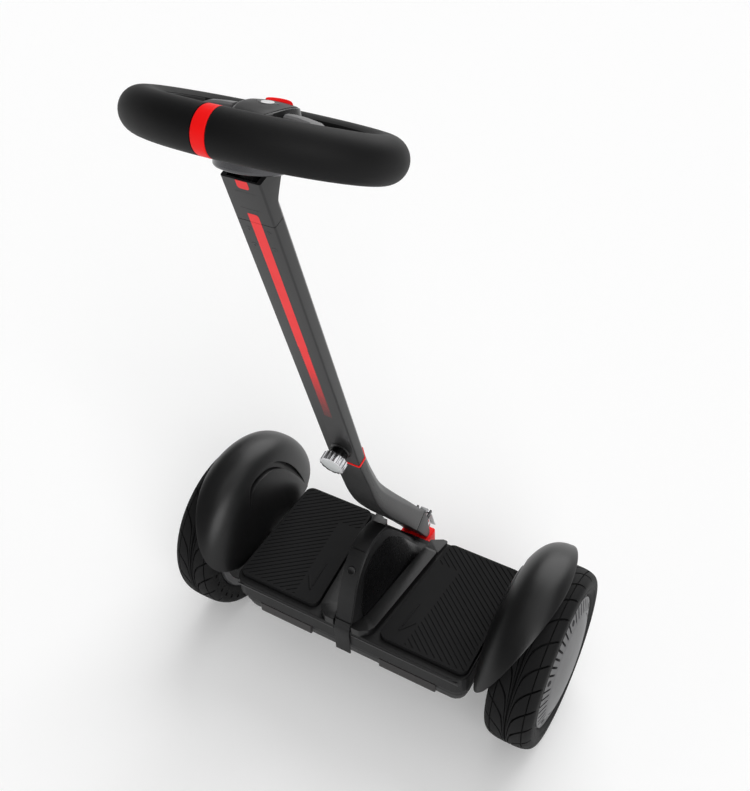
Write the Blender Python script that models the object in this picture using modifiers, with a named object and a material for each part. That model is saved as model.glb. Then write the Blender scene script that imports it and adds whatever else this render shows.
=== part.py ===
# Self-balancing two-wheeled transporter with a telescopic steering column and a rim to hold.
# Metres, +X to the rider's right, +Y forward, +Z up, origin on the floor under the middle of the axle line.
import math

import bmesh
import bpy
from mathutils import Euler, Matrix, Vector

for old in list(bpy.data.objects):
    bpy.data.objects.remove(old, do_unlink=True)

# Driving dimensions
GAP = 0.0003
RUNNING_GAP = 0.00008
TYRE_RADIUS = 0.134
TYRE_HALF_WIDTH = 0.0355
# The tread falls by this much from its middle to the tyre's widest point, along a squared-off curve
TYRE_CROWN_DROP = 0.016
CROWN_FLATNESS = 3.2
CROWN_SHOULDER = 2.5
WHEEL_X = 0.264
# The axle line stands this far in front of the middle of the whole object's depth
AXLE_Y = 0.0530
RIM_RADIUS = 0.0995
HUB_RING_RADIUS = 0.0985
HUB_CAP_RADIUS = 0.0750
HUB_FACE_IN = 0.0293
HUB_FACE_OUT = 0.0376
HUB_DOME_OUT = 0.0445
AXLE_RADIUS = 0.010
AXLE_Z = TYRE_RADIUS

BODY_HALF_WIDTH = 0.194
BODY_REAR_Y = -0.116
BODY_FRONT_Y = 0.098
SPLIT_Z = 0.126
BODY_BOTTOM_Z = 0.070
DECK_TOP_Z = 0.1575
DECK_PLATE_Z = 0.1500
WELL_FLOOR_Z = 0.1530
WALL = 0.003

MAT_TOP_Z = 0.1647
MAT_BOTTOM_Z = 0.1553
MAT_REAR_Y = -0.1047
MAT_FRONT_Y = 0.0951
MAT_OUTER_X = 0.1905
MAT_CORNER = 0.012
MAT_STEM = (0.125, 0.0)

RAIL_TOP_Z = 0.171
STRAP_HALF_WIDTH = 0.0125
STRAP_THICKNESS = 0.0024

FENDER_INNER_X = 0.197
FENDER_FULL_WIDTH = 0.109
FENDER_BASE_RADIUS = 0.047
FENDER_HEIGHT = 0.105
FENDER_POWER = 2.48
FENDER_REACH = 0.087
FENDER_END = math.radians(83)
FENDER_Y = 0.004
FENDER_Z = AXLE_Z + 0.005
FENDER_SKIN = 0.0026
FENDER_FOOT_Z = 0.150

LEAN_AXIS_Z = 0.118
SHAFT_RADIUS = 0.008
FOOT_FRONT_Y = 0.134
FOOT_TOP_Z = 0.1365
STEM_HALF_WIDTH = 0.0215

COLUMN_LEAN = math.radians(15.6)
COLLAR = Vector((0.0, -0.0761, 0.4645))
COLUMN_LENGTH = 0.473
HEAD_START = 0.4215
COLUMN_DEPTH = 0.026
COLLAR_THICKNESS = 0.003

KNOB_HEIGHT = 0.0265
KNOB_RADIUS = 0.0165

RIM_CENTRE = Vector((0.0, -0.163, 0.9457))
RIM_TILT = math.radians(-25.9)
RIM_HALF_X = 0.1147
RIM_HALF_V = 0.084
GRIP_RADIUS = 0.021
GRIP_FLAT = 0.0125
# The band sits a little to the right of the rim's rearmost point
BAND_ANGLE = math.radians(-85.9)
BAND_HALF_ANGLE = math.radians(3.05)
FRAME_HALF_THICKNESS = 0.0050

BOSS_BASE = Vector((0.0, -0.1868, 0.9232))
BOSS_TILT = math.radians(-19.5)
BOSS_RADIUS = 0.0330
BOSS_NECK_RADIUS = 0.0095
BOSS_NECK_Y = 0.0140
HEAD_FLOOR = 0.4480

POD_FLARE = 0.0075
POD_BUTTON = (0.0062, 0.0058)

# Materials: name to colour, roughness and metallic value
FINISHES = {
    "body_black": ((0.030, 0.030, 0.032), 0.55, 0.0),
    "gloss_black": ((0.016, 0.016, 0.018), 0.30, 0.0),
    "mat_rubber": ((0.028, 0.028, 0.030), 0.80, 0.0),
    "tyre_rubber": ((0.022, 0.022, 0.023), 0.85, 0.0),
    "grip_foam": ((0.018, 0.018, 0.019), 0.75, 0.0),
    "column_grey": ((0.055, 0.055, 0.058), 0.45, 0.3),
    "accent_red": ((0.80, 0.02, 0.02), 0.40, 0.0),
    "hub_silver": ((0.45, 0.45, 0.46), 0.38, 0.9),
    "chrome": ((0.75, 0.75, 0.77), 0.12, 1.0),
    "steel": ((0.50, 0.50, 0.51), 0.35, 1.0),
    "copper": ((0.55, 0.28, 0.12), 0.45, 0.9),
    "lamp_red": ((0.10, 0.01, 0.01), 0.25, 0.0),
    "lamp_clear": ((0.70, 0.72, 0.75), 0.15, 0.0),
    "button_white": ((0.85, 0.85, 0.85), 0.35, 0.0),
    "board_green": ((0.02, 0.12, 0.05), 0.60, 0.0),
    "battery_blue": ((0.03, 0.08, 0.20), 0.55, 0.0),
}

PARTS = bpy.data.collections.new("self_balancing_transporter")
CUTTERS = bpy.data.collections.new("cutters")
for group in (PARTS, CUTTERS):
    bpy.context.scene.collection.children.link(group)

ALONG_X = Euler((0.0, math.radians(90), 0.0))
ALONG_MINUS_X = Euler((0.0, math.radians(-90), 0.0))
ALONG_Y = Euler((math.radians(-90), 0.0, 0.0))
SIDE_VIEW = Euler((math.radians(90), 0.0, math.radians(90)))
COLUMN_TURN = Euler((COLUMN_LEAN, 0.0, 0.0))
RIM_TURN = Euler((RIM_TILT, 0.0, 0.0))
SIDES = (("left", -1), ("right", 1))
ORIGIN = Vector((0.0, 0.0, 0.0))


def material(finish):
    found = bpy.data.materials.get(finish)
    if found:
        return found
    colour, roughness, metallic = FINISHES[finish]
    made = bpy.data.materials.new(finish)
    made.use_nodes = True
    shader = made.node_tree.nodes["Principled BSDF"]
    shader.inputs["Base Color"].default_value = (*colour, 1.0)
    shader.inputs["Roughness"].default_value = roughness
    shader.inputs["Metallic"].default_value = metallic
    made.diffuse_color = (*colour, 1.0)
    return made


def place(name, data, finish=None, at=ORIGIN, turn=None):
    """A new object: a part with its finish, or a cutter where no finish is given."""
    made = bpy.data.objects.new(name, data)
    made.location = at
    if turn is not None:
        made.rotation_euler = turn
    if finish:
        PARTS.objects.link(made)
        data.materials.append(material(finish))
    else:
        CUTTERS.objects.link(made)
        made.hide_render = True
        made.display_type = "WIRE"
    return made


def mesh_of(bm, name, smooth_angle=35):
    mesh = bpy.data.meshes.new(name)
    bm.to_mesh(mesh)
    bm.free()
    mesh.shade_smooth()
    mesh.set_sharp_from_angle(angle=math.radians(smooth_angle))
    return mesh


def round_edges(obj, width, segments=2, angle=40):
    bevel = obj.modifiers.new("round_edges", "BEVEL")
    bevel.width = width
    bevel.segments = segments
    bevel.limit_method = "ANGLE"
    bevel.angle_limit = math.radians(angle)
    return obj


def box(name, low, high, finish=None, bevel=0.0, segments=2, at=ORIGIN, turn=None):
    """A box between two corners, in the frame given by its place and turn."""
    low, high = Vector(low), Vector(high)
    bm = bmesh.new()
    bmesh.ops.create_cube(bm, size=1.0)
    for vertex in bm.verts:
        vertex.co = (low + high) / 2 + Vector(a * b for a, b in zip(vertex.co, high - low))
    made = place(name, mesh_of(bm, name), finish, at, turn)
    if bevel:
        round_edges(made, bevel, segments)
    return made


def cylinder(name, radius, low, high, finish=None, at=ORIGIN, turn=None, sides=32, top_radius=None):
    """A round bar along its own Z from low to high."""
    bm = bmesh.new()
    bmesh.ops.create_cone(
        bm, cap_ends=True, segments=sides, radius1=radius,
        radius2=radius if top_radius is None else top_radius, depth=high - low,
    )
    bmesh.ops.translate(bm, verts=bm.verts, vec=(0, 0, (low + high) / 2))
    return place(name, mesh_of(bm, name), finish, at, turn)


def turned(name, profile, finish, at, turn, closed=True, steps=40):
    """A ring or disc: (radius, height) points, down the outer side first, spun about its own Z."""
    bm = bmesh.new()
    points = [bm.verts.new((radius, 0.0, height)) for radius, height in profile]
    pairs = list(zip(points, points[1:]))
    if closed:
        pairs.append((points[-1], points[0]))
    for first, second in pairs:
        bm.edges.new((first, second))
    mesh = bpy.data.meshes.new(name)
    bm.to_mesh(mesh)
    bm.free()
    made = place(name, mesh, finish, at, turn)
    screw = made.modifiers.new("spin", "SCREW")
    screw.steps = screw.render_steps = steps
    screw.use_merge_vertices = True
    screw.merge_threshold = 0.00005
    screw.use_smooth_shade = True
    return made


def curve_to_mesh(curve_object):
    """The curve's solid as a mesh object of the same name and place."""
    name = curve_object.name
    graph = bpy.context.evaluated_depsgraph_get()
    mesh = bpy.data.meshes.new_from_object(curve_object.evaluated_get(graph))
    bm = bmesh.new()
    bm.from_mesh(mesh)
    bmesh.ops.remove_doubles(bm, verts=bm.verts, dist=0.00002)
    bm.to_mesh(mesh)
    bm.free()
    mesh.shade_smooth()
    mesh.set_sharp_from_angle(angle=math.radians(35))
    made = bpy.data.objects.new("solid", mesh)
    made.matrix_world = curve_object.matrix_world
    for home in curve_object.users_collection:
        home.objects.link(made)
    made.hide_render = curve_object.hide_render
    made.display_type = curve_object.display_type
    bpy.data.objects.remove(curve_object, do_unlink=True)
    made.name = name
    return made


def outlined(name, loops, low, high, finish=None, at=ORIGIN, turn=None):
    """A flat outline, holes included, between two heights along its own Z."""
    curve = bpy.data.curves.new(name, "CURVE")
    curve.dimensions = "2D"
    curve.fill_mode = "BOTH"
    curve.extrude = (high - low) / 2
    for loop in loops:
        spline = curve.splines.new("POLY")
        spline.points.add(len(loop) - 1)
        for point, (x, y) in zip(spline.points, loop):
            point.co = (x, y, 0.0, 1.0)
        spline.use_cyclic_u = True
    middle = Vector((0.0, 0.0, (low + high) / 2))
    if turn is not None:
        middle = turn.to_matrix() @ middle
    made = place(name, curve, finish, Vector(at) + middle, turn)
    bpy.context.view_layer.update()
    return curve_to_mesh(made)


def rod(name, points, radius, finish, cyclic=False, resolution=2, at=ORIGIN, turn=None):
    curve = bpy.data.curves.new(name, "CURVE")
    curve.dimensions = "3D"
    curve.bevel_depth = radius
    curve.bevel_resolution = resolution
    curve.use_fill_caps = not cyclic
    spline = curve.splines.new("POLY")
    spline.points.add(len(points) - 1)
    for point, place_at in zip(spline.points, points):
        point.co = (*place_at, 1.0)
    spline.use_cyclic_u = cyclic
    made = place(name, curve, finish, at, turn)
    bpy.context.view_layer.update()
    return curve_to_mesh(made)


def boolean(obj, other, operation="DIFFERENCE"):
    step = obj.modifiers.new(operation.lower(), "BOOLEAN")
    step.operation = operation
    step.object = other
    return obj


def arc(centre, radius, start, end, count):
    """Points on a circle, from one angle to another in degrees."""
    angles = [math.radians(start + (end - start) * i / (count - 1)) for i in range(count)]
    return [(centre[0] + radius * math.cos(a), centre[1] + radius * math.sin(a)) for a in angles]


def rounded(corners, radius, count=5):
    """A polygon, given anticlockwise, with its corners rounded."""
    loop = []
    for i, corner in enumerate(corners):
        here = Vector(corner)
        before = (Vector(corners[i - 1]) - here).normalized()
        after = (Vector(corners[(i + 1) % len(corners)]) - here).normalized()
        half = before.angle(after) / 2
        centre = here + (before + after).normalized() * radius / math.sin(half)
        start = here + before * radius / math.tan(half) - centre
        end = here + after * radius / math.tan(half) - centre
        sweep = start.angle_signed(end)
        for k in range(count):
            turn = -sweep * k / (count - 1)
            loop.append(
                (
                    centre.x + start.x * math.cos(turn) - start.y * math.sin(turn),
                    centre.y + start.x * math.sin(turn) + start.y * math.cos(turn),
                )
            )
    return loop


def ellipse(half_x, half_y, centre=(0.0, 0.0), count=48):
    return [
        (
            centre[0] + half_x * math.cos(2 * math.pi * i / count),
            centre[1] + half_y * math.sin(2 * math.pi * i / count),
        )
        for i in range(count)
    ]


def between(points, at):
    """Straight-line reading of a list of (place, value) pairs."""
    for (x0, y0), (x1, y1) in zip(points, points[1:]):
        if min(x0, x1) <= at <= max(x0, x1):
            return y0 + (y1 - y0) * (at - x0) / (x1 - x0)
    return points[0][1] if abs(at - points[0][0]) < abs(at - points[-1][0]) else points[-1][1]


def smooth_path(points, count):
    """Even points on a Catmull-Rom curve through the given points."""
    path = []
    for i in range(len(points) - 1):
        p0 = Vector(points[max(i - 1, 0)])
        p1, p2 = Vector(points[i]), Vector(points[i + 1])
        p3 = Vector(points[min(i + 2, len(points) - 1)])
        for k in range(count):
            t = k / count
            path.append(
                0.5 * ((2 * p1) + (p2 - p0) * t + (2 * p0 - 5 * p1 + 4 * p2 - p3) * t**2
                       + (3 * p1 - p0 - 3 * p2 + p3) * t**3)
            )
    path.append(Vector(points[-1]))
    return path


def offset_path(path, distance):
    """The path moved sideways, to its left where the distance is positive."""
    moved = []
    for i, point in enumerate(path):
        along = (path[min(i + 1, len(path) - 1)] - path[max(i - 1, 0)]).normalized()
        moved.append(point + Vector((-along.y, along.x)) * distance)
    return moved


def loft(name, sections, finish, at=ORIGIN, turn=None):
    """A closed skin over sections that all hold the same number of points."""
    bm = bmesh.new()
    rings = [[bm.verts.new(point) for point in section] for section in sections]
    count = len(rings[0])
    for first, second in zip(rings, rings[1:]):
        for i in range(count):
            j = (i + 1) % count
            bm.faces.new((first[i], first[j], second[j], second[i]))
    bm.faces.new(rings[0][::-1])
    bm.faces.new(rings[-1])
    bmesh.ops.recalc_face_normals(bm, faces=bm.faces)
    return place(name, mesh_of(bm, name), finish, at, turn)


def joint_point(name, at):
    """An empty on a joint's axis, which carries the pieces that move with it."""
    empty = bpy.data.objects.new(name, None)
    empty.location = at
    empty.empty_display_size = 0.02
    PARTS.objects.link(empty)
    return empty


def carry(empty, *pieces):
    bpy.context.view_layer.update()
    for piece in pieces:
        piece.parent = empty
        piece.matrix_parent_inverse = empty.matrix_world.inverted()


def tyre_profile():
    crown = []
    shares = (1.0, 0.97, 0.90, 0.78, 0.60, 0.35)
    for share in shares + (0.0,) + tuple(-s for s in reversed(shares)):
        drop = TYRE_CROWN_DROP * (1 - (1 - abs(share) ** CROWN_FLATNESS) ** (1 / CROWN_SHOULDER))
        crown.append((TYRE_RADIUS - drop, share * TYRE_HALF_WIDTH))
    bead = RIM_RADIUS + GAP
    wall = [(bead, 0.0300), (bead + 0.0040, 0.0330), (bead + 0.0087, 0.0345)]
    return crown + [(radius, -height) for radius, height in reversed(wall)] + wall


def build_wheel(side, sign):
    centre = Vector((sign * WHEEL_X, 0.0, AXLE_Z))
    outward = ALONG_X if sign > 0 else ALONG_MINUS_X
    tyre = turned(f"tyre_{side}", tyre_profile(), "tyre_rubber", centre, outward, steps=40)
    bore = AXLE_RADIUS + RUNNING_GAP
    rim_profile = [
        (RIM_RADIUS, 0.0290), (RIM_RADIUS, -0.0320), (0.0945, -0.0350), (bore, -0.0350),
        (bore, -0.0310), (0.0930, -0.0310), (0.0930, 0.0290),
    ]
    rim = turned(f"rim_shell_{side}", rim_profile, "hub_silver", centre, outward, steps=40)
    ring_bore = HUB_CAP_RADIUS + 0.0005
    ring_profile = [
        (HUB_RING_RADIUS - 0.0008, 0.0320), (HUB_RING_RADIUS, 0.0310), (HUB_RING_RADIUS, HUB_FACE_IN),
        (ring_bore, HUB_FACE_IN), (ring_bore, HUB_FACE_OUT),
    ]
    ring = turned(f"hub_ring_{side}", ring_profile, "hub_silver", centre, outward, steps=40)
    cap_profile = [
        (0.0, HUB_DOME_OUT), (0.025, 0.0437), (0.048, 0.0417), (0.066, 0.0392), (0.0748, HUB_FACE_OUT),
        (HUB_CAP_RADIUS, 0.0370), (HUB_CAP_RADIUS, HUB_FACE_IN), (0.0, HUB_FACE_IN),
    ]
    cap = turned(f"hub_cap_{side}", cap_profile, "hub_silver", centre, outward, closed=False, steps=36)
    carry(joint_point(f"wheel_axis_{side}", centre), tyre, rim, ring, cap)
    flange_in, flange_out, tip = 0.1778 - WHEEL_X, 0.1818 - WHEEL_X, 0.0230
    axle_profile = [
        (0.0, tip), (AXLE_RADIUS, tip), (AXLE_RADIUS, flange_out), (0.014, flange_out),
        (0.014, flange_in), (0.0, flange_in),
    ]
    turned(f"axle_{side}", axle_profile, "steel", centre, outward, closed=False, steps=20)
    hole = AXLE_RADIUS + GAP
    core, web, boss = 0.062, 0.0030, 0.022
    stator_profile = [
        (0.088, 0.016), (0.088, -0.016), (core, -0.016), (core, -web), (boss, -web), (boss, -0.026),
        (hole, -0.026), (hole, 0.020), (boss, 0.020), (boss, web), (core, web), (core, 0.016),
    ]
    turned(f"motor_stator_{side}", stator_profile, "copper", centre, outward, steps=32)


def fender_edge_x(angle):
    """How far out the fender reaches at an angle from its top."""
    share = max(0.0, math.cos(angle * math.radians(90) / FENDER_END))
    return FENDER_INNER_X + max(0.0045, FENDER_REACH * share**0.8)


def fender_radius(x):
    u = (x - FENDER_INNER_X - FENDER_FULL_WIDTH / 2) / (FENDER_FULL_WIDTH / 2)
    bulge = max(0.0, 1 - abs(u) ** FENDER_POWER)
    return FENDER_BASE_RADIUS + FENDER_HEIGHT * bulge ** (1 / FENDER_POWER)


def build_fender(side, sign):
    bm = bmesh.new()
    rows, columns = 22, 7
    grid = []
    for i in range(rows + 1):
        angle = FENDER_END * (2 * i / rows - 1)
        reach = fender_edge_x(angle) - FENDER_INNER_X
        line = []
        for j in range(columns + 1):
            x = FENDER_INNER_X + reach * (j / columns) ** 1.8
            radius = fender_radius(x) if j else FENDER_BASE_RADIUS
            line.append((x, radius, angle))
        grid.append(line)
    verts = [
        [
            bm.verts.new(
                (
                    sign * x,
                    FENDER_Y + radius * math.sin(angle),
                    FENDER_Z + radius * math.cos(angle),
                )
            )
            for x, radius, angle in line
        ]
        for line in grid
    ]
    hub = bm.verts.new((sign * FENDER_INNER_X, FENDER_Y, FENDER_Z))
    for first, second in zip(verts, verts[1:]):
        bm.faces.new((hub, second[0], first[0]))
        for j in range(columns):
            bm.faces.new((first[j], second[j], second[j + 1], first[j + 1]))
    geometry = list(bm.verts) + list(bm.edges) + list(bm.faces)
    bmesh.ops.bisect_plane(
        bm, geom=geometry, plane_co=(0, 0, FENDER_FOOT_Z), plane_no=(0, 0, -1), clear_outer=True, dist=1e-6
    )
    bmesh.ops.recalc_face_normals(bm, faces=bm.faces)
    middle = Vector((sign * WHEEL_X, 0.0, AXLE_Z))
    faces = [face for face in bm.faces]
    outward = sum((f.calc_center_median() - middle).dot(f.normal) * f.calc_area() for f in faces)
    if outward < 0:
        bmesh.ops.reverse_faces(bm, faces=faces)
    fender = place(f"fender_{side}", mesh_of(bm, f"fender_{side}", 50), "body_black")
    skin = fender.modifiers.new("skin", "SOLIDIFY")
    skin.thickness = FENDER_SKIN
    skin.offset = -1.0
    skin.use_even_offset = False
    return fender


def body_outline(half_width, rear, front, corner):
    return rounded([(-half_width, rear), (half_width, rear), (half_width, front), (-half_width, front)], corner)


def mat_inner_x(y):
    return 0.0609 + 0.0856 * y


def mat_outline(sign, grow=0.0):
    rear, front = MAT_REAR_Y - grow, MAT_FRONT_Y + grow
    corners = [
        (mat_inner_x(rear) - grow, rear), (MAT_OUTER_X + grow, rear),
        (MAT_OUTER_X + grow, front), (mat_inner_x(front) - grow, front),
    ]
    if sign < 0:
        corners = [(-x, y) for x, y in reversed(corners)]
    return rounded(corners, MAT_CORNER + grow)


def build_shells():
    deck = outlined(
        "deck_cover", [body_outline(BODY_HALF_WIDTH, BODY_REAR_Y, BODY_FRONT_Y, 0.020)],
        SPLIT_Z + GAP, DECK_TOP_Z, "body_black",
    )
    round_edges(deck, 0.003)
    inner = body_outline(BODY_HALF_WIDTH - WALL, BODY_REAR_Y + WALL, BODY_FRONT_Y - WALL, 0.017)
    boolean(deck, outlined("deck_hollow", [inner], SPLIT_Z - 0.002, DECK_PLATE_Z))
    for side, sign in SIDES:
        well = outlined(f"mat_well_{side}", [mat_outline(sign, 0.0012)], WELL_FLOOR_Z, DECK_TOP_Z + 0.010)
        boolean(deck, well)
        stem_at = (sign * MAT_STEM[0], MAT_STEM[1], 0.0)
        boolean(deck, cylinder(f"mat_stem_hole_{side}", 0.0056, 0.145, 0.156, at=stem_at, sides=20))
    notch = box("front_notch", (-0.045, 0.088, 0.140), (0.045, 0.110, 0.170))
    boolean(deck, notch)
    axle_way = cylinder("axle_way", AXLE_RADIUS + 0.0015, -0.25, 0.25, at=(0, 0, AXLE_Z), turn=ALONG_X, sides=24)
    boolean(deck, axle_way)

    sections = []
    for z, shrink in ((BODY_BOTTOM_Z, 0.026), (0.074, 0.018), (0.090, 0.007), (0.108, 0.002), (SPLIT_Z, 0.0)):
        corner = 0.020 - shrink * 0.3
        loop = body_outline(BODY_HALF_WIDTH - shrink, -0.110 + shrink, 0.097 - shrink, corner)
        sections.append([(x, y, z) for x, y in loop])
    tray = loft("lower_shell", sections, "body_black")
    hollow = body_outline(BODY_HALF_WIDTH - 0.030, -0.110 + 0.028, 0.097 - 0.028, 0.012)
    upper = body_outline(BODY_HALF_WIDTH - 0.010, -0.110 + 0.010, 0.097 - 0.008, 0.012)
    inside = loft(
        "tray_hollow",
        [[(x, y, 0.074) for x, y in hollow], [(x, y, 0.100) for x, y in upper], [(x, y, 0.130) for x, y in upper]],
        "body_black",
    )
    PARTS.objects.unlink(inside)
    CUTTERS.objects.link(inside)
    inside.hide_render = True
    inside.display_type = "WIRE"
    boolean(tray, inside)
    boolean(tray, axle_way)
    shaft_way = cylinder("shaft_way", 0.0098, 0.080, 0.105, at=(0, 0, LEAN_AXIS_Z), turn=ALONG_Y, sides=24)
    boolean(tray, shaft_way)
    boolean(deck, shaft_way)
    boolean(tray, box("lamp_way", (-0.0403, 0.0902, 0.0917), (0.0403, 0.1050, 0.1023)))
    socket_way = box("socket_way", (-0.128, 0.084, 0.099), (-0.092, 0.110, 0.121))
    boolean(tray, socket_way)


def build_insides():
    box("battery_pack", (-0.150, -0.070, 0.0752), (0.020, 0.050, 0.0990), "battery_blue", bevel=0.004)
    box("control_board", (0.035, -0.065, 0.0860), (0.150, 0.045, 0.0880), "board_green")
    frame = box("chassis_frame", (-0.1775, -0.050, 0.1005), (0.1775, 0.046, 0.1480), "steel")
    space = box("frame_space", (-0.1715, -0.060, 0.1045), (0.1715, 0.042, 0.160))
    boolean(frame, space)
    housing = box("bearing_housing", (-0.022, 0.044, 0.1035), (0.022, 0.088, 0.1330), bevel=0.002)
    boolean(frame, housing, "UNION")
    bore = cylinder("bearing_bore", 0.0105, 0.040, 0.100, at=(0, 0, LEAN_AXIS_Z), turn=ALONG_Y, sides=24)
    boolean(frame, bore)
    bush = [(0.0102, 0.0860), (0.0102, 0.0540), (SHAFT_RADIUS + GAP, 0.0540), (SHAFT_RADIUS + GAP, 0.0860)]
    turned("torsion_bush", bush, "mat_rubber", (0, 0, LEAN_AXIS_Z), ALONG_Y, steps=24)
    for side, sign in SIDES:
        x, y = sign * MAT_STEM[0], MAT_STEM[1]
        box(
            f"pressure_switch_{side}", (x - 0.011, y - 0.009, 0.1340), (x + 0.011, y + 0.009, 0.1425),
            "gloss_black", bevel=0.001,
        )


def build_mats():
    for side, sign in SIDES:
        mat = outlined(f"foot_mat_{side}", [mat_outline(sign)], MAT_BOTTOM_Z, MAT_TOP_Z, "mat_rubber")
        round_edges(mat, 0.0032)
        at = Vector((sign * MAT_STEM[0], MAT_STEM[1], 0.0))
        stem = cylinder(f"mat_stem_{side}", 0.0045, 0.1443, MAT_BOTTOM_Z + 0.003, at=at, sides=20)
        boolean(mat, stem, "UNION")
        carry(joint_point(f"mat_travel_{side}", at + Vector((0, 0, MAT_BOTTOM_Z))), mat)


# The ridge of the hump, rear foot to top to front foot, as (y, z)
RIDGE_REAR = [
    (-0.1190, 0.1080), (-0.1191, 0.1300), (-0.1190, 0.1540), (-0.1165, 0.1630), (-0.1123, 0.1735),
    (-0.1062, 0.1880), (-0.1008, 0.2040), (-0.0960, 0.2200), (-0.0903, 0.2345), (-0.0820, 0.2500),
    (-0.0718, 0.2628), (-0.0620, 0.2715), (-0.0510, 0.2772), (-0.0400, 0.2795), (-0.0250, 0.2785),
    (-0.0096, 0.2752), (0.0000, 0.2712),
]
RIDGE_FRONT = [(0.0000, 0.2680), (0.0150, 0.2520), (0.0344, 0.2270), (0.0640, 0.1850), (0.0830, 0.1580)]
STRAP_CUTS = (-0.0590, 0.1735)
BUTTON_Y = -0.0800


def hump_base_half(y):
    return 0.0325 + 0.0975 * y


def hump_top(y):
    """Height of the hump's own ridge, which lies just under the cover strap."""
    if y > 0.0:
        return between(RIDGE_FRONT, y)
    under = offset_path(smooth_path([Vector(p) for p in RIDGE_REAR[3:]], 3), -STRAP_THICKNESS - 2 * GAP)
    return between([(p.x, p.y) for p in under], y)


def hump_side(y, t, inset=0.0):
    """A point on the hump's hollowed side: t runs from 0 at the rail to 1 at the ridge."""
    base, top = hump_base_half(y) - inset, STRAP_HALF_WIDTH + 0.001 - inset
    hollow = 0.22 * (base - top) * math.sin(math.pi * t)
    x = base + (top - base) * t - hollow
    z = DECK_TOP_Z + GAP + (hump_top(y) - 0.004 - DECK_TOP_Z) * t
    return x, z


def build_hump():
    inset = 0.0034
    stations = [-0.104 + (0.080 + 0.104) * i / 13 for i in range(14)]
    levels = [0.0, 0.25, 0.5, 0.75, 1.0]
    sections = []
    for y in stations:
        right = [hump_side(y, t, inset) for t in levels]
        top = hump_top(y)
        crown = [(STRAP_HALF_WIDTH * 0.7, top)]
        half = [(x, z) for x, z in right] + crown
        ring = [(x, y, z) for x, z in half] + [(-x, y, z) for x, z in reversed(half)]
        sections.append(ring)
    housing = loft("hump_housing", sections, "body_black")
    for side, sign in SIDES:
        sections = []
        for y in stations[1:-1]:
            outer = [hump_side(y, t) for t in levels]
            inner = [hump_side(y, t, inset - 2 * GAP) for t in levels]
            ring = outer + inner[::-1]
            sections.append([(sign * x, y, z) for x, z in ring])
        loft(f"hump_panel_{side}", sections, "gloss_black")
    path = smooth_path([Vector(p) for p in RIDGE_REAR], 3)
    pieces = {"spine_cover_lower": [], "spine_cover_middle": [], "spine_cover_upper": []}
    for point in path:
        if point.y <= STRAP_CUTS[1]:
            pieces["spine_cover_lower"].append(point)
        elif point.x <= STRAP_CUTS[0]:
            pieces["spine_cover_middle"].append(point)
        else:
            pieces["spine_cover_upper"].append(point)
    straps = {}
    for name, points in pieces.items():
        inner = offset_path(points, -STRAP_THICKNESS)
        loop = [(p.x, p.y) for p in points] + [(p.x, p.y) for p in reversed(inner)]
        loop.reverse()
        straps[name] = outlined(
            name, [loop], -STRAP_HALF_WIDTH, STRAP_HALF_WIDTH, "body_black", turn=SIDE_VIEW
        )
    before, after = [point for point in zip(path, path[1:]) if point[1].x > BUTTON_Y][0]
    slope = after - before
    button_at = Vector((0.0, BUTTON_Y, between([tuple(before), tuple(after)], BUTTON_Y)))
    facing = Euler((math.atan2(slope.y, slope.x), 0.0, 0.0))
    hole = cylinder("button_hole", 0.0068, -0.0065, 0.010, at=button_at, turn=facing, sides=28)
    boolean(straps["spine_cover_middle"], hole)
    boolean(housing, hole)
    button = cylinder("power_button", 0.0062, -0.0045, 0.0012, "body_black", at=button_at, turn=facing, sides=28)
    round_edges(button, 0.0006)
    carry(joint_point("power_button_axis", button_at), button)
    for side, sign in SIDES:
        corners = [
            (hump_base_half(-0.103) + 0.0006, -0.103), (0.0548 + 0.0965 * -0.103, -0.103),
            (0.0548 + 0.0965 * 0.066, 0.066), (hump_base_half(0.066) + 0.0006, 0.066),
        ]
        if sign < 0:
            corners = [(-x, y) for x, y in reversed(corners)]
        rail = outlined(f"side_rail_{side}", [rounded(corners, 0.004, 3)], DECK_TOP_Z + GAP, RAIL_TOP_Z, "body_black")
        round_edges(rail, 0.003)


def build_lights_and_port():
    for side, sign in SIDES:
        low, high = sorted((sign * 0.058, sign * 0.150))
        box(
            f"tail_light_{side}", (low, -0.1152, 0.1040), (high, -0.1104, 0.1240), "lamp_red", bevel=0.0015
        )
    box("headlight", (-0.040, 0.0905, 0.0920), (0.040, 0.0965, 0.1020), "lamp_clear", bevel=0.0015)
    socket = box("charging_socket", (-0.1270, 0.0850, 0.1000), (-0.0930, 0.0950, 0.1200), "gloss_black")
    boolean(socket, cylinder("socket_bore", 0.0065, 0.088, 0.100, at=(-0.110, 0, 0.110), turn=ALONG_Y, sides=20))
    flap = box("charging_flap", (-0.1290, 0.0974, 0.0985), (-0.0910, 0.1000, 0.1215), "mat_rubber", bevel=0.0010)
    carry(joint_point("flap_hinge", Vector((-0.110, 0.0987, 0.1215))), flap)


NECK_END_Y = 0.1190
# Rear and front faces of the lower stem, collar to foot, as (y, z)
NECK_REAR = [
    (-0.0756, 0.4628), (-0.0670, 0.4380), (-0.0577, 0.4130), (-0.0436, 0.3710), (-0.0258, 0.3328),
    (0.0027, 0.2880), (0.0332, 0.2460), (0.0531, 0.2190), (0.0740, 0.1895),
]
NECK_FRONT = [
    (0.1010, 0.2090), (0.0640, 0.2620), (0.0215, 0.3215), (-0.0130, 0.3730), (-0.0300, 0.4100),
    (-0.0420, 0.4420), (-0.0506, 0.4698),
]


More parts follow.
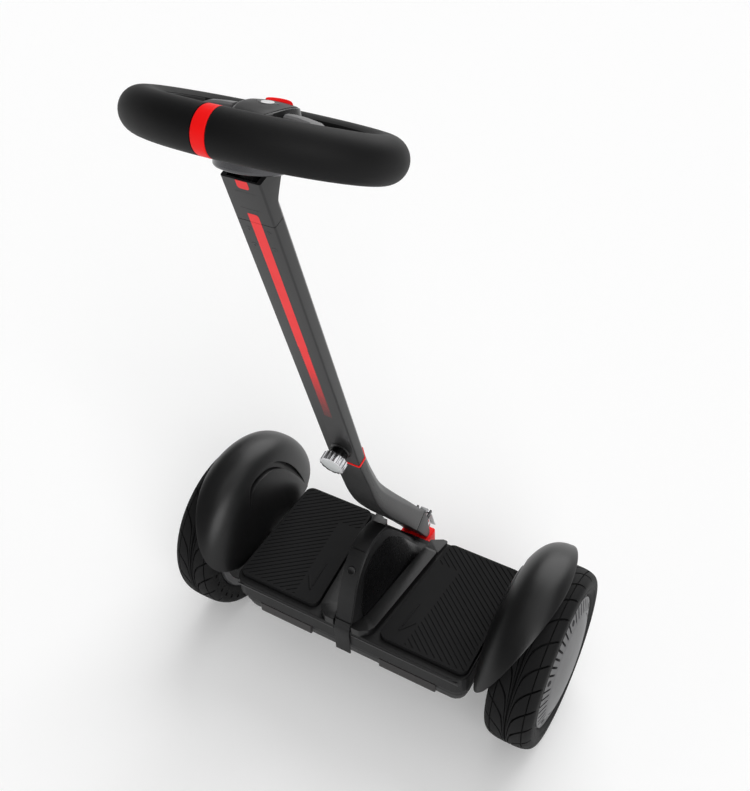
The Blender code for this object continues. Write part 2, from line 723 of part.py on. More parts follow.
def neck_corner(name, sign):
    """The wedge that comes off one front corner of the neck, wider towards the collar."""
    path = smooth_path([Vector(p) for p in NECK_FRONT], 3)
    spare = 0.004
    sections = []
    for i, point in enumerate(path):
        run = (path[min(i + 1, len(path) - 1)] - path[max(i - 1, 0)]).normalized()
        inward = Vector((-run.y, run.x))
        if i == 0:
            point = point - run * spare
        if i == len(path) - 1:
            point = point + run * spare
        growth = math.sqrt(i / (len(path) - 1))
        deep = 0.0020 + 0.0095 * growth
        wide = 0.0020 + 0.0075 * growth
        outer = STEM_HALF_WIDTH + spare
        section = [
            (outer, -spare), (outer, deep + spare * deep / wide), (STEM_HALF_WIDTH - wide - spare * wide / deep, -spare),
        ]
        sections.append([(sign * x, point.x + inward.x * d, point.y + inward.y * d) for x, d in section])
    return loft(name, sections, None)


def build_stem():
    rear = smooth_path([Vector(p) for p in NECK_REAR], 3)
    front = smooth_path([Vector(p) for p in NECK_FRONT], 3)
    loop = [(p.x, p.y) for p in rear + front]
    neck = outlined("neck", [loop], -STEM_HALF_WIDTH, STEM_HALF_WIDTH, "column_grey", turn=SIDE_VIEW)
    round_edges(neck, 0.003)
    boolean(neck, neck_corner("neck_corner_left", -1))
    boolean(neck, neck_corner("neck_corner_right", 1))
    seam = Vector((0.0270, 0.0195)).normalized()
    step = Vector((seam.y, -seam.x)) * 0.0006
    low, high = Vector((0.0740, 0.1895)) + step, Vector((0.1010, 0.2090)) + step
    block_loop = [
        tuple(low), (0.0905, 0.1655), (0.1090, FOOT_TOP_Z + GAP), (NECK_END_Y, FOOT_TOP_Z + GAP),
        (NECK_END_Y, 0.1476), (0.1100, 0.1870), tuple(high),
    ]
    block = outlined(
        "neck_end_block", [block_loop], -STEM_HALF_WIDTH, STEM_HALF_WIDTH, "column_grey", turn=SIDE_VIEW
    )
    round_edges(block, 0.002)
    foot = box(
        "stem_foot", (-0.0245, 0.1000, 0.1080), (0.0245, FOOT_FRONT_Y, FOOT_TOP_Z), "accent_red", bevel=0.004
    )
    lip = box("foot_lip", (-0.006, FOOT_FRONT_Y - 0.004, 0.1257), (0.006, 0.1400, 0.1310))
    boolean(foot, lip, "UNION")
    shaft = cylinder(
        "steering_shaft", SHAFT_RADIUS, 0.0500, 0.0997, "steel", at=(0, 0, LEAN_AXIS_Z), turn=ALONG_Y, sides=24
    )

    mast_loop = rounded([(-0.013, 0.0065), (0.013, 0.0065), (0.013, 0.0180), (-0.013, 0.0180)], 0.002, 3)
    mast = outlined("inner_mast", [mast_loop], -0.0015, 0.300, "steel", at=COLLAR, turn=COLUMN_TURN)
    collar_loop = rounded(
        [(-0.0222, -0.0007), (0.0222, -0.0007), (0.0222, 0.0150), (0.0120, 0.0267), (-0.0120, 0.0267), (-0.0222, 0.0150)],
        0.002, 3,
    )
    collar = outlined(
        "height_collar", [collar_loop], -0.0014, COLLAR_THICKNESS - 0.0016, "accent_red", at=COLLAR, turn=COLUMN_TURN
    )
    slot = [(-0.0133, 0.0062), (0.0133, 0.0062), (0.0133, 0.0183), (-0.0133, 0.0183)]
    boolean(collar, outlined("collar_slot", [slot], -0.010, 0.010, at=COLLAR, turn=COLUMN_TURN))
    return [neck, block, foot, shaft, mast, collar] + build_latch_seat()


LATCH_ALONG = Vector((0.0, 0.2227, -0.9750)).normalized()
LATCH_OUT = Vector((0.0, 0.9750, 0.2227)).normalized()
LATCH_STAND = 0.0215
LATCH_PIVOT = Vector((0.0, 0.1382, 0.1614))
BAIL_PIVOT = LATCH_PIVOT + LATCH_ALONG * 0.014 - LATCH_OUT * 0.003


def build_latch_seat():
    turn = Matrix((Vector((1, 0, 0)), LATCH_OUT, -LATCH_ALONG)).transposed()
    if turn.determinant() < 0:
        turn = Matrix((Vector((-1, 0, 0)), LATCH_OUT, -LATCH_ALONG)).transposed()
    foot_of = LATCH_PIVOT - LATCH_OUT * LATCH_STAND
    ear = LATCH_STAND + 0.0045
    channel = [
        (-0.0125, 0.0), (0.0125, 0.0), (0.0125, ear), (0.0107, ear), (0.0107, 0.0018),
        (-0.0107, 0.0018), (-0.0107, ear), (-0.0125, ear),
    ]
    bracket = outlined(
        "latch_bracket", [channel], -0.0060, 0.0060, "chrome", at=foot_of, turn=turn.to_euler()
    )
    boolean(bracket, cylinder("bracket_bore", 0.00225, -0.020, 0.020, at=LATCH_PIVOT, turn=ALONG_X, sides=20))
    pin = cylinder("latch_pin", 0.0019, -0.0135, 0.0135, "steel", at=LATCH_PIVOT, turn=ALONG_X, sides=20)
    return [bracket, pin]


def build_latch_moving():
    along = Vector((LATCH_ALONG.y, LATCH_ALONG.z))
    out = Vector((LATCH_OUT.y, LATCH_OUT.z))

    def local(a, b):
        point = along * a + out * b
        return point.x, point.y

    side = [local(-0.0045, b) for b in (-0.0020, 0.0030)]
    side += [local(a, b) for a, b in (
        (0.0, 0.0058), (0.010, 0.0064), (0.028, 0.0078), (0.046, 0.0092), (0.0575, 0.0135),
        (0.0592, 0.0112), (0.047, 0.0058), (0.028, 0.0044), (0.019, 0.0028), (0.0185, -0.0050),
        (0.0145, -0.0066), (0.0100, -0.0050), (0.0060, -0.0040), (0.0, -0.0042),
    )]
    side.reverse()
    hole = [(0.0023 * math.cos(-a), 0.0023 * math.sin(-a)) for a in (2 * math.pi * i / 16 for i in range(16))]
    lever = outlined("latch_lever", [side, hole], -0.0065, 0.0065, "chrome", at=LATCH_PIVOT, turn=SIDE_VIEW)
    carry(joint_point("latch_axis", LATCH_PIVOT), lever)
    half = 0.0084
    top, low = Vector((0.0, BAIL_PIVOT.y, BAIL_PIVOT.z)), Vector((0.0, 0.1436, 0.1300))
    bar = Vector((0.0, 0.1384, 0.1215))
    profile = [top, top.lerp(low, 0.5), low, Vector((0.0, 0.1430, 0.1238)), bar]
    left = [p + Vector((-half, 0, 0)) for p in profile]
    right = [p + Vector((half, 0, 0)) for p in reversed(profile)]
    cross = [bar + Vector((x, 0, 0)) for x in (-0.004, 0.004)]
    bail = rod("latch_bail", left + cross + right, 0.0013, "chrome", resolution=1)
    carry(joint_point("bail_axis", BAIL_PIVOT), bail)
    return lever, bail


def column_section(grow=0.0):
    g = grow
    return [
        (-0.0195 - g, -g), (0.0195 + g, -g), (STEM_HALF_WIDTH + g, 0.002), (STEM_HALF_WIDTH + g, 0.014),
        (0.0115 + g, COLUMN_DEPTH + g), (-0.0115 - g, COLUMN_DEPTH + g),
        (-STEM_HALF_WIDTH - g, 0.014), (-STEM_HALF_WIDTH - g, 0.002),
    ]


def build_boss():
    """The disc under the rim, with the neck that carries it in the column's open top."""
    profile = [
        (0.0, 0.045), (BOSS_RADIUS, 0.045), (BOSS_RADIUS, 0.0040), (BOSS_RADIUS - 0.0004, 0.0018),
        (BOSS_RADIUS - 0.0014, 0.0004), (BOSS_RADIUS - 0.0026, 0.0), (0.0, 0.0),
    ]
    boss_turn = Euler((BOSS_TILT, 0.0, 0.0))
    boss = turned("rim_boss", profile, "hub_silver", BOSS_BASE, boss_turn, closed=False, steps=40)
    neck_at = COLLAR + COLUMN_TURN.to_matrix() @ Vector((0.0, BOSS_NECK_Y, 0.0))
    neck = cylinder(
        "boss_neck", BOSS_NECK_RADIUS, HEAD_FLOOR + GAP, 0.4800, at=neck_at, turn=COLUMN_TURN, sides=24
    )
    boolean(boss, neck, "UNION")
    above = box(
        "above_boss", (-0.10, -0.15, -FRAME_HALF_THICKNESS - GAP), (0.10, 0.15, 0.15), at=RIM_CENTRE, turn=RIM_TURN
    )
    return boolean(boss, above)


def build_column():
    start = COLLAR_THICKNESS - 0.0016 + GAP
    tube = outlined("column_tube", [column_section()], start, HEAD_START, "column_grey", at=COLLAR, turn=COLUMN_TURN)
    bore = [(-0.0136, 0.0059), (0.0136, 0.0059), (0.0136, 0.0186), (-0.0136, 0.0186)]
    boolean(tube, outlined("column_bore", [bore], -0.010, HEAD_START + 0.010, at=COLLAR, turn=COLUMN_TURN))
    levels = [(HEAD_START + GAP, 0.0), (0.4390, 0.0), (0.4560, 0.012), (0.4650, 0.020), (COLUMN_LENGTH, 0.024)]
    sections = []
    for height, flare in levels:
        ring = [(x, y + (flare if y > 0.010 else 0.0), height) for x, y in column_section()]
        sections.append(ring)
    head = loft("column_head", sections, "column_grey", at=COLLAR, turn=COLUMN_TURN)
    boss = build_boss()
    boss_turn = Euler((BOSS_TILT, 0.0, 0.0))
    boolean(head, cylinder("boss_way", BOSS_RADIUS + 0.0010, -GAP, 0.060, at=BOSS_BASE, turn=boss_turn, sides=40))
    neck_way = box("neck_way", (-0.0165, 0.0022, HEAD_FLOOR), (0.0165, 0.0250, 0.500), at=COLLAR, turn=COLUMN_TURN)
    boolean(head, neck_way)

    knob_base = COLLAR + COLUMN_TURN.to_matrix() @ Vector((0.0, 0.0, KNOB_HEIGHT))
    outward = Euler((COLUMN_LEAN + math.radians(90), 0.0, 0.0))
    collar_profile = [
        (0.0118, 0.0095), (0.0118, 0.0075), (0.0108, 0.0065), (0.0118, 0.0055), (0.0118, 0.0030),
        (0.0140, GAP), (0.0042, GAP), (0.0042, 0.0095),
    ]
    knob_collar = turned("knob_collar", collar_profile, "gloss_black", knob_base, outward, steps=28)
    screw_hole = cylinder("screw_hole", 0.0042, -0.030, 0.004, at=knob_base, turn=outward, sides=20)
    boolean(tube, screw_hole)
    flutes = []
    for i in range(48):
        angle = 2 * math.pi * i / 48
        radius = KNOB_RADIUS - 0.0008 * (1 - math.cos(12 * angle))
        flutes.append((radius * math.cos(angle), radius * math.sin(angle)))
    knob = outlined("height_knob", [flutes], 0.0125, 0.0245, "chrome", at=knob_base, turn=outward)
    round_edges(knob, 0.0012, 1)
    carry(joint_point("knob_axis", knob_base), knob)
    screw = cylinder("clamp_screw", 0.0036, -0.0062, 0.0122, "steel", at=knob_base, turn=outward, sides=20)
    carry(joint_point("clamp_screw_axis", knob_base), screw)
    return tube, head, boss, knob_collar


def grip_points(start, end, count):
    points = []
    for i in range(count):
        angle = start + (end - start) * i / (count - 1)
        points.append((RIM_HALF_X * math.cos(angle), RIM_HALF_V * math.sin(angle)))
    return points


def grip_section():
    """Round outside, flat towards the middle of the rim: (outwards, up) points."""
    flat_angle = math.degrees(math.acos(GRIP_FLAT / GRIP_RADIUS))
    return arc((0.0, 0.0), GRIP_RADIUS, -180 + flat_angle, 180 - flat_angle, 13)


def sweep_round_rim(name, start, end, count, finish, section):
    """The section carried round the rim's oval, standing square to it."""
    sections = []
    for i in range(count):
        angle = start + (end - start) * i / (count - 1)
        centre = Vector((RIM_HALF_X * math.cos(angle), RIM_HALF_V * math.sin(angle), 0.0))
        outward = Vector((RIM_HALF_V * math.cos(angle), RIM_HALF_X * math.sin(angle), 0.0)).normalized()
        sections.append([centre + outward * a + Vector((0, 0, b)) for a, b in section])
    return loft(name, sections, finish, at=RIM_CENTRE, turn=RIM_TURN)


def build_rim():
    away = BAND_HALF_ANGLE + math.radians(0.25)
    grip = sweep_round_rim(
        "rim_grip", BAND_ANGLE + away, BAND_ANGLE + 2 * math.pi - away, 41, "grip_foam", grip_section()
    )
    band = sweep_round_rim(
        "rim_band", BAND_ANGLE - BAND_HALF_ANGLE, BAND_ANGLE + BAND_HALF_ANGLE, 4, "accent_red", grip_section()
    )

    def inner(depth, count=48):
        loop = []
        for i in range(count):
            angle = 2 * math.pi * i / count
            centre = Vector((RIM_HALF_X * math.cos(angle), RIM_HALF_V * math.sin(angle)))
            outward = Vector((RIM_HALF_V * math.cos(angle), RIM_HALF_X * math.sin(angle))).normalized()
            loop.append(tuple(centre - outward * depth))
        return loop

    edge = inner(GRIP_FLAT + GAP)
    opening = inner(GRIP_FLAT + 0.0065)
    hub_half_x, hub_half_v, hub_v = 0.036, 0.031, -0.012
    holes = {"front": [], "rear_left": [], "rear_right": []}
    spans = {"front": (14, 166), "rear_left": (200, 252), "rear_right": (288, 340)}
    hub = Vector((0.0, hub_v))
    loops = [edge]
    for name, (start, end) in spans.items():
        outer_side, inner_side = [], []
        count = 13 if name == "front" else 7
        for i in range(count):
            angle = math.radians(start + (end - start) * i / (count - 1))
            ray = Vector((math.cos(angle), math.sin(angle)))
            half_x, half_v = RIM_HALF_X - GRIP_FLAT - 0.0068, RIM_HALF_V - GRIP_FLAT - 0.0068
            a = (ray.x / half_x) ** 2 + (ray.y / half_v) ** 2
            b = 2 * (hub.x * ray.x / half_x**2 + hub.y * ray.y / half_v**2)
            c = (hub.x / half_x) ** 2 + (hub.y / half_v) ** 2 - 1
            reach = (-b + math.sqrt(b * b - 4 * a * c)) / (2 * a)
            outer_side.append(tuple(hub + ray * reach))
            near = 1 / math.sqrt((ray.x / hub_half_x) ** 2 + (ray.y / hub_half_v) ** 2)
            inner_side.append(tuple(hub + ray * near))
        holes[name] = outer_side + inner_side[::-1]
        loops.append(holes[name])
    frame = outlined(
        "rim_frame", loops, -FRAME_HALF_THICKNESS, FRAME_HALF_THICKNESS, "gloss_black", at=RIM_CENTRE, turn=RIM_TURN
    )
    pod = place_pod()
    return [grip, band, frame] + pod


# The pod from its rear end to its front: place along the rim's depth, half-width of its top, height of its crown
POD_STATIONS = [
    (-0.0330, 0.0110, 0.0142), (-0.0270, 0.0160, 0.0178), (-0.0200, 0.0195, 0.0207), (-0.0090, 0.0224, 0.0243),
    (0.0030, 0.0230, 0.0268), (0.0140, 0.0226, 0.0275), (0.0230, 0.0190, 0.0275), (0.0280, 0.0130, 0.0262),
]


def pod_section(place_at, half_top, crown):
    """One slice across the pod: flared sides and a slightly domed top."""
    base = FRAME_HALF_THICKNESS + GAP
    edge = crown - 0.0015
    half = [
        (half_top + POD_FLARE, base), (half_top + POD_FLARE * 0.6, base + (edge - base) * 0.45),
        (half_top + 0.0012, edge - 0.0012), (half_top, edge), (half_top * 0.6, crown - 0.0004),
    ]
    return [(x, place_at, h) for x, h in half] + [(-x, place_at, h) for x, h in reversed(half)]


def place_pod():
    """The raised control pod, its red crest and its button."""
    pod = loft(
        "dash_housing", [pod_section(*station) for station in POD_STATIONS], "gloss_black", at=RIM_CENTRE, turn=RIM_TURN
    )
    half_x, half_v = POD_BUTTON
    rim = 0.0006
    well = outlined(
        "button_well", [ellipse(half_x + rim, half_v + rim, count=24)], 0.0202, 0.030, at=RIM_CENTRE, turn=RIM_TURN
    )
    boolean(pod, well)
    button = outlined(
        "mode_button", [ellipse(half_x, half_v, count=24)], 0.0216, 0.0270, "button_white",
        at=RIM_CENTRE, turn=RIM_TURN,
    )
    round_edges(button, 0.0010, 1)
    carry(joint_point("mode_button_axis", RIM_CENTRE), button)
    crest_loop = arc((0.0, 0.0065), 0.0185, 38, 142, 11) + arc((0.0, 0.0065), 0.0140, 142, 38, 11)
    crest = outlined("dash_crest", [crest_loop], 0.0278, 0.0310, "accent_red", at=RIM_CENTRE, turn=RIM_TURN)
    round_edges(crest, 0.0010, 1)
    return [pod, crest]


def main():
    for side, sign in SIDES:
        build_wheel(side, sign)
        build_fender(side, sign)
    build_shells()
    build_insides()
    build_mats()
    build_hump()
    build_lights_and_port()
    stem = build_stem()
    build_latch_moving()
    column = list(build_column()) + build_rim()
    carry(joint_point("lean_axis", Vector((0.0, 0.100, LEAN_AXIS_Z))), *stem)
    carry(joint_point("height_slide", COLLAR), *column)
    whole = joint_point("transporter", ORIGIN)
    loose = [piece for group in (PARTS, CUTTERS) for piece in group.objects if piece.parent is None]
    carry(whole, *[piece for piece in loose if piece is not whole])
    whole.location.y = AXLE_Y


main()
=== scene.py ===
import math

import bmesh
import bpy
from mathutils import Euler, Matrix, Vector


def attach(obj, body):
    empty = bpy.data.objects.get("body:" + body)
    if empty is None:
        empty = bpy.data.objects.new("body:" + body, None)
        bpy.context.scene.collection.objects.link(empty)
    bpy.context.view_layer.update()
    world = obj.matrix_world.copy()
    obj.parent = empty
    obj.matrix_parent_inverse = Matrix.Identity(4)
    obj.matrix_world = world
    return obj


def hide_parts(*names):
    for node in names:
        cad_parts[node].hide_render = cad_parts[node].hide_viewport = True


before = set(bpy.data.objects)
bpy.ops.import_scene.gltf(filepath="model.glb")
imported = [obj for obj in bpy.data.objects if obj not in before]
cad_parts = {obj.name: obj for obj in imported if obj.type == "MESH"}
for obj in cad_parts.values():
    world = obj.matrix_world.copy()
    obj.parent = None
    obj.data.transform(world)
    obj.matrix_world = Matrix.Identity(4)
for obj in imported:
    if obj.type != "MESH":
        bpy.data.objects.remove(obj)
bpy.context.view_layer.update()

# Sizes shared with the solids, in metres from the middle of the axle line on the floor
AXLE_Y = 0.0530
TYRE_RADIUS = 0.134
TYRE_HALF_WIDTH = 0.0355
TYRE_CROWN_DROP = 0.016
CROWN_FLATNESS = 3.2
CROWN_SHOULDER = 2.5
WHEEL_X = 0.264
AXLE_Z = TYRE_RADIUS

DECK_TOP_Z = 0.1575

MAT_TOP_Z = 0.1647
MAT_BOTTOM_Z = 0.1553
MAT_REAR_Y = -0.1047
MAT_FRONT_Y = 0.0951
MAT_OUTER_X = 0.1905
MAT_CORNER = 0.012

FENDER_INNER_X = 0.197
FENDER_FULL_WIDTH = 0.109
FENDER_BASE_RADIUS = 0.047
FENDER_HEIGHT = 0.105
FENDER_POWER = 2.48
FENDER_REACH = 0.087
FENDER_END = math.radians(83)
FENDER_Y = 0.004
FENDER_Z = AXLE_Z + 0.005
FENDER_SKIN = 0.0026
FENDER_FOOT_Z = 0.150

COLUMN_LEAN = math.radians(15.6)
COLLAR = Vector((0.0, -0.0761, 0.4645))
COLUMN = Matrix.Translation(COLLAR) @ Euler((COLUMN_LEAN, 0.0, 0.0)).to_matrix().to_4x4()

RIM_CENTRE = Vector((0.0, -0.163, 0.9457))
RIM_TILT = math.radians(-25.9)
RIM = Matrix.Translation(RIM_CENTRE) @ Euler((RIM_TILT, 0.0, 0.0)).to_matrix().to_4x4()
RIM_HALF_X = 0.1147
RIM_HALF_V = 0.084
GRIP_RADIUS = 0.021
GRIP_FLAT = 0.0125
BAND_ANGLE = math.radians(-85.9)
BAND_HALF_ANGLE = math.radians(3.05)

SIDES = (("left", -1), ("right", 1))
TURN = 2 * math.pi


# Shader and geometry trees


class Value:
    """One output of a node. Python's operators on it add the Math nodes for them."""

    def __init__(self, tree, socket):
        self.tree, self.socket = tree, socket

    def other(self, name):
        return Value(self.tree, self.socket.node.outputs[name])

    def __add__(self, term):
        return self.tree.maths("ADD", self, term)

    __radd__ = __add__

    def __sub__(self, term):
        return self.tree.maths("SUBTRACT", self, term)

    def __rsub__(self, term):
        return self.tree.maths("SUBTRACT", term, self)

    def __mul__(self, term):
        return self.tree.maths("MULTIPLY", self, term)

    __rmul__ = __mul__

    def __truediv__(self, term):
        return self.tree.maths("DIVIDE", self, term)

    def __mod__(self, term):
        return self.tree.maths("FLOORED_MODULO", self, term)

    def __abs__(self):
        return self.tree.maths("ABSOLUTE", self)

    def __gt__(self, term):
        return self.tree.maths("GREATER_THAN", self, term)


class NodeTree:
    """A tree that grows one node at a time."""

    def __init__(self, tree):
        self.tree = tree

    def node(self, kind, settings=None, sockets=None, output=0):
        made = self.tree.nodes.new(kind)
        for key, setting in (settings or {}).items():
            setattr(made, key, setting)
        for key, given in (sockets or {}).items():
            self.feed(made.inputs[key], given)
        return Value(self, made.outputs[output])

    def feed(self, socket, given):
        if isinstance(given, Value):
            self.tree.links.new(given.socket, socket)
        else:
            socket.default_value = given

    def maths(self, operation, *terms):
        return self.node("ShaderNodeMath", {"operation": operation}, dict(enumerate(terms)))

    def clamped(self, value):
        return self.node("ShaderNodeClamp", sockets={"Value": value})


class Finish(NodeTree):
    """A surface: one Principled shader with its constants on its own sockets."""

    def __init__(self, name, colour, roughness, **constants):
        self.material = bpy.data.materials.new(name)
        self.material.use_nodes = True
        super().__init__(self.material.node_tree)
        self.shader = self.tree.nodes["Principled BSDF"]
        self.colour = (*colour, 1.0)
        self.put("Base Color", self.colour)
        self.put("Roughness", roughness)
        for label, given in constants.items():
            self.put(label.replace("_", " "), given)
        self.place = self.node("ShaderNodeTexCoord", output="Object")
        self.material.diffuse_color = self.colour

    def put(self, socket, given):
        self.feed(self.shader.inputs[socket], given)

    def noise(self, scale, detail=2.0, coarse=0.5, place=None):
        sockets = {"Vector": place or self.place, "Scale": scale, "Detail": detail, "Roughness": coarse}
        return self.node("ShaderNodeTexNoise", sockets=sockets)

    def stretched(self, *scale):
        return self.node("ShaderNodeMapping", sockets={"Vector": self.place, "Scale": scale})

    def mix(self, share, first, second):
        sockets = {0: share, 6: first, 7: second}
        return self.node("ShaderNodeMix", {"data_type": "RGBA"}, sockets, output=2)

    def tinted(self, share, factor):
        """The base colour made lighter or darker where the share is high."""
        other = tuple(min(1.0, part * factor) for part in self.colour[:3]) + (1.0,)
        self.put("Base Color", self.mix(share, self.colour, other))

    def relief(self, height, depth):
        """Fine relief in the surface, as a bump under its normal."""
        sockets = {"Height": height, "Distance": depth, "Strength": 1.0}
        self.put("Normal", self.node("ShaderNodeBump", sockets=sockets))


class Pattern(NodeTree):
    """A geometry tree with named inputs for its sizes, used to grow plain meshes."""

    def __init__(self, name, **sizes):
        super().__init__(bpy.data.node_groups.new(name, "GeometryNodeTree"))
        face = self.tree.interface
        face.new_socket("Geometry", in_out="INPUT", socket_type="NodeSocketGeometry")
        self.identifiers = {}
        for label, size in sizes.items():
            kind = "NodeSocketInt" if isinstance(size, int) else "NodeSocketFloat"
            made = face.new_socket(label, in_out="INPUT", socket_type=kind)
            made.default_value = size
            self.identifiers[label] = made.identifier
        made = face.new_socket("Finish", in_out="INPUT", socket_type="NodeSocketMaterial")
        self.identifiers["Finish"] = made.identifier
        face.new_socket("Geometry", in_out="OUTPUT", socket_type="NodeSocketGeometry")
        self.start = self.tree.nodes.new("NodeGroupInput")

    def given(self, label):
        return Value(self, self.start.outputs[label])

    def close(self, geometry):
        solid = self.node("GeometryNodeRealizeInstances", sockets={"Geometry": geometry})
        dressed = self.node(
            "GeometryNodeSetMaterial", sockets={"Geometry": solid, "Material": self.given("Finish")}
        )
        end = self.tree.nodes.new("NodeGroupOutput")
        self.feed(end.inputs[0], dressed)
        return self

    def grow(self, name, seed_mesh, finish, weld=0.0, sharp=35, **sizes):
        """The plain mesh that the tree makes of a seed mesh."""
        holder = linked("seed", seed_mesh)
        modifier = holder.modifiers.new("pattern", "NODES")
        modifier.node_group = self.tree
        modifier[self.identifiers["Finish"]] = FINISH[finish]
        for label, size in sizes.items():
            modifier[self.identifiers[label]] = size
        mesh = plain(holder, name)
        if weld:
            bm = bmesh.new()
            bm.from_mesh(mesh)
            bmesh.ops.remove_doubles(bm, verts=bm.verts, dist=weld)
            mesh = mesh_of(bm, name, sharp)
        return mesh


def linked(name, data):
    """A new object in the scene."""
    made = bpy.data.objects.new(name, data)
    bpy.context.scene.collection.objects.link(made)
    return made


def plain(holder, name):
    """The evaluated mesh of an object, which is then removed."""
    graph = bpy.context.evaluated_depsgraph_get()
    mesh = bpy.data.meshes.new_from_object(holder.evaluated_get(graph))
    mesh.name = name
    for modifier in list(holder.modifiers):
        holder.modifiers.remove(modifier)
    bpy.data.objects.remove(holder, do_unlink=True)
    return mesh


# Meshes


def smoothed(mesh, sharp=35):
    """Smooth shading, broken at edges sharper than an angle in degrees."""
    mesh.shade_smooth()
    mesh.set_sharp_from_angle(angle=math.radians(sharp))
    return mesh


def mesh_of(bm, name, sharp=35, outward=True, place=None):
    """The mesh of a finished bmesh, moved to its place and turned right side out."""
    if place is not None:
        bmesh.ops.transform(bm, matrix=place, verts=bm.verts)
    if outward:
        bmesh.ops.recalc_face_normals(bm, faces=bm.faces)
        if bm.calc_volume(signed=True) < 0:
            bmesh.ops.reverse_faces(bm, faces=bm.faces)
    mesh = bpy.data.meshes.new(name)
    bm.to_mesh(mesh)
    bm.free()
    return smoothed(mesh, sharp)


def finished(mesh, *steps):
    """The mesh after modifiers, each given as its type and its settings."""
    holder = linked("blank", mesh)
    for kind, settings in steps:
        step = holder.modifiers.new(kind.lower(), kind)
        for key, setting in settings.items():
            setattr(step, key, setting)
    return plain(holder, mesh.name)


def bevelled(mesh, width, segments=3, angle=35, sharp=40):
    return smoothed(finished(mesh, ("BEVEL", {
        "width": width, "segments": segments, "limit_method": "ANGLE", "angle_limit": math.radians(angle),
        "miter_outer": "MITER_ARC",
    })), sharp)


def lofted(name, sections, sharp=35, place=None):
    """A closed skin over sections with equal counts of points."""
    bm = bmesh.new()
    rings = [[bm.verts.new(point) for point in section] for section in sections]
    count = len(rings[0])
    for first, second in zip(rings, rings[1:]):
        for i in range(count):
            j = (i + 1) % count
            bm.faces.new((first[i], first[j], second[j], second[i]))
    bm.faces.new(rings[0][::-1])
    bm.faces.new(rings[-1])
    return mesh_of(bm, name, sharp, place=place)


def spun(name, profile, steps, place=None):
    """A profile of (radius, height) points spun about its own Z."""
    sections = []
    for i in range(steps):
        angle = TURN * i / steps
        sections.append([(r * math.cos(angle), r * math.sin(angle), h) for r, h in profile])
    bm = bmesh.new()
    rings = [[bm.verts.new(point) for point in section] for section in sections]
    count = len(profile)
    for i in range(steps):
        first, second = rings[i], rings[(i + 1) % steps]
        for j in range(count):
            k = (j + 1) % count
            bm.faces.new((first[j], second[j], second[k], first[k]))
    bmesh.ops.remove_doubles(bm, verts=bm.verts, dist=0.000005)
    return mesh_of(bm, name, place=place)


def drum(name, radius, low, high, steps, place=None):
    """A plain round bar between two heights."""
    return spun(name, [(0.0001, low), (radius, low), (radius, high), (0.0001, high)], steps, place)


def plate(name, loops, low, high, place=None, sharp=35):
    """A flat outline with holes, between two heights; the first loop is the outer one."""
    bm = bmesh.new()
    edges = {low: [], high: []}
    layers = {low: [], high: []}
    for loop in loops:
        for height in (low, high):
            verts = [bm.verts.new((x, y, height)) for x, y in loop]
            layers[height].append(verts)
            edges[height] += [bm.edges.new((a, b)) for a, b in zip(verts, verts[1:] + verts[:1])]
    for bottom, top in zip(layers[low], layers[high]):
        count = len(bottom)
        for i in range(count):
            j = (i + 1) % count
            bm.faces.new((bottom[i], bottom[j], top[j], top[i]))
    for height in (low, high):
        bmesh.ops.triangle_fill(bm, use_beauty=True, use_dissolve=False, edges=edges[height])
    return mesh_of(bm, name, sharp, place=place)


def oblong(x0, y0, x1, y1):
    return [(x0, y0), (x1, y0), (x1, y1), (x0, y1)]


def arc(centre, radius, start, end, count):
    """Points on a circle, from one angle to another in degrees."""
    angles = [math.radians(start + (end - start) * i / (count - 1)) for i in range(count)]
    return [(centre[0] + radius * math.cos(a), centre[1] + radius * math.sin(a)) for a in angles]


def rounded(corners, radius, count=6):
    """A polygon with rounded corners; the radius may differ from corner to corner."""
    radii = radius if isinstance(radius, (list, tuple)) else [radius] * len(corners)
    loop = []
    for i, (corner, size) in enumerate(zip(corners, radii)):
        here = Vector(corner)
        before = (Vector(corners[i - 1]) - here).normalized()
        after = (Vector(corners[(i + 1) % len(corners)]) - here).normalized()
        half = before.angle(after) / 2
        centre = here + (before + after).normalized() * size / math.sin(half)
        start = here + before * size / math.tan(half) - centre
        end = here + after * size / math.tan(half) - centre
        sweep = start.angle_signed(end)
        for k in range(count):
            turn = -sweep * k / (count - 1)
            x = start.x * math.cos(turn) - start.y * math.sin(turn)
            y = start.x * math.sin(turn) + start.y * math.cos(turn)
            loop.append((centre.x + x, centre.y + y))
    return loop


def read(table, at):
    """Straight-line reading of (place, value) pairs, flat beyond both ends."""
    for (x0, y0), (x1, y1) in zip(table, table[1:]):
        if min(x0, x1) <= at <= max(x0, x1):
            return y0 + (y1 - y0) * (at - x0) / (x1 - x0)
    return table[0][1] if abs(at - table[0][0]) < abs(at - table[-1][0]) else table[-1][1]


def smooth_path(points, count):
    """Even points on a Catmull-Rom curve through the given points."""
    points = [Vector(p) for p in points]
    path = []
    for i in range(len(points) - 1):
        p0, p1, p2 = points[max(i - 1, 0)], points[i], points[i + 1]
        p3 = points[min(i + 2, len(points) - 1)]
        for k in range(count):
            t = k / count
            bend = (2 * p0 - 5 * p1 + 4 * p2 - p3) * t**2 + (3 * p1 - p0 - 3 * p2 + p3) * t**3
            path.append(0.5 * (2 * p1 + (p2 - p0) * t + bend))
    path.append(points[-1])
    return path


def mirrored(mesh, name):
    """A copy across the middle plane, turned right side out again."""
    bm = bmesh.new()
    bm.from_mesh(mesh)
    bmesh.ops.scale(bm, vec=(-1, 1, 1), verts=bm.verts)
    bmesh.ops.reverse_faces(bm, faces=bm.faces)
    return mesh_of(bm, name, outward=False)


def joined(name, *meshes):
    bm = bmesh.new()
    for mesh in meshes:
        bm.from_mesh(mesh)
    return mesh_of(bm, name, outward=False)


def moved(mesh, place):
    mesh.transform(place)
    return mesh


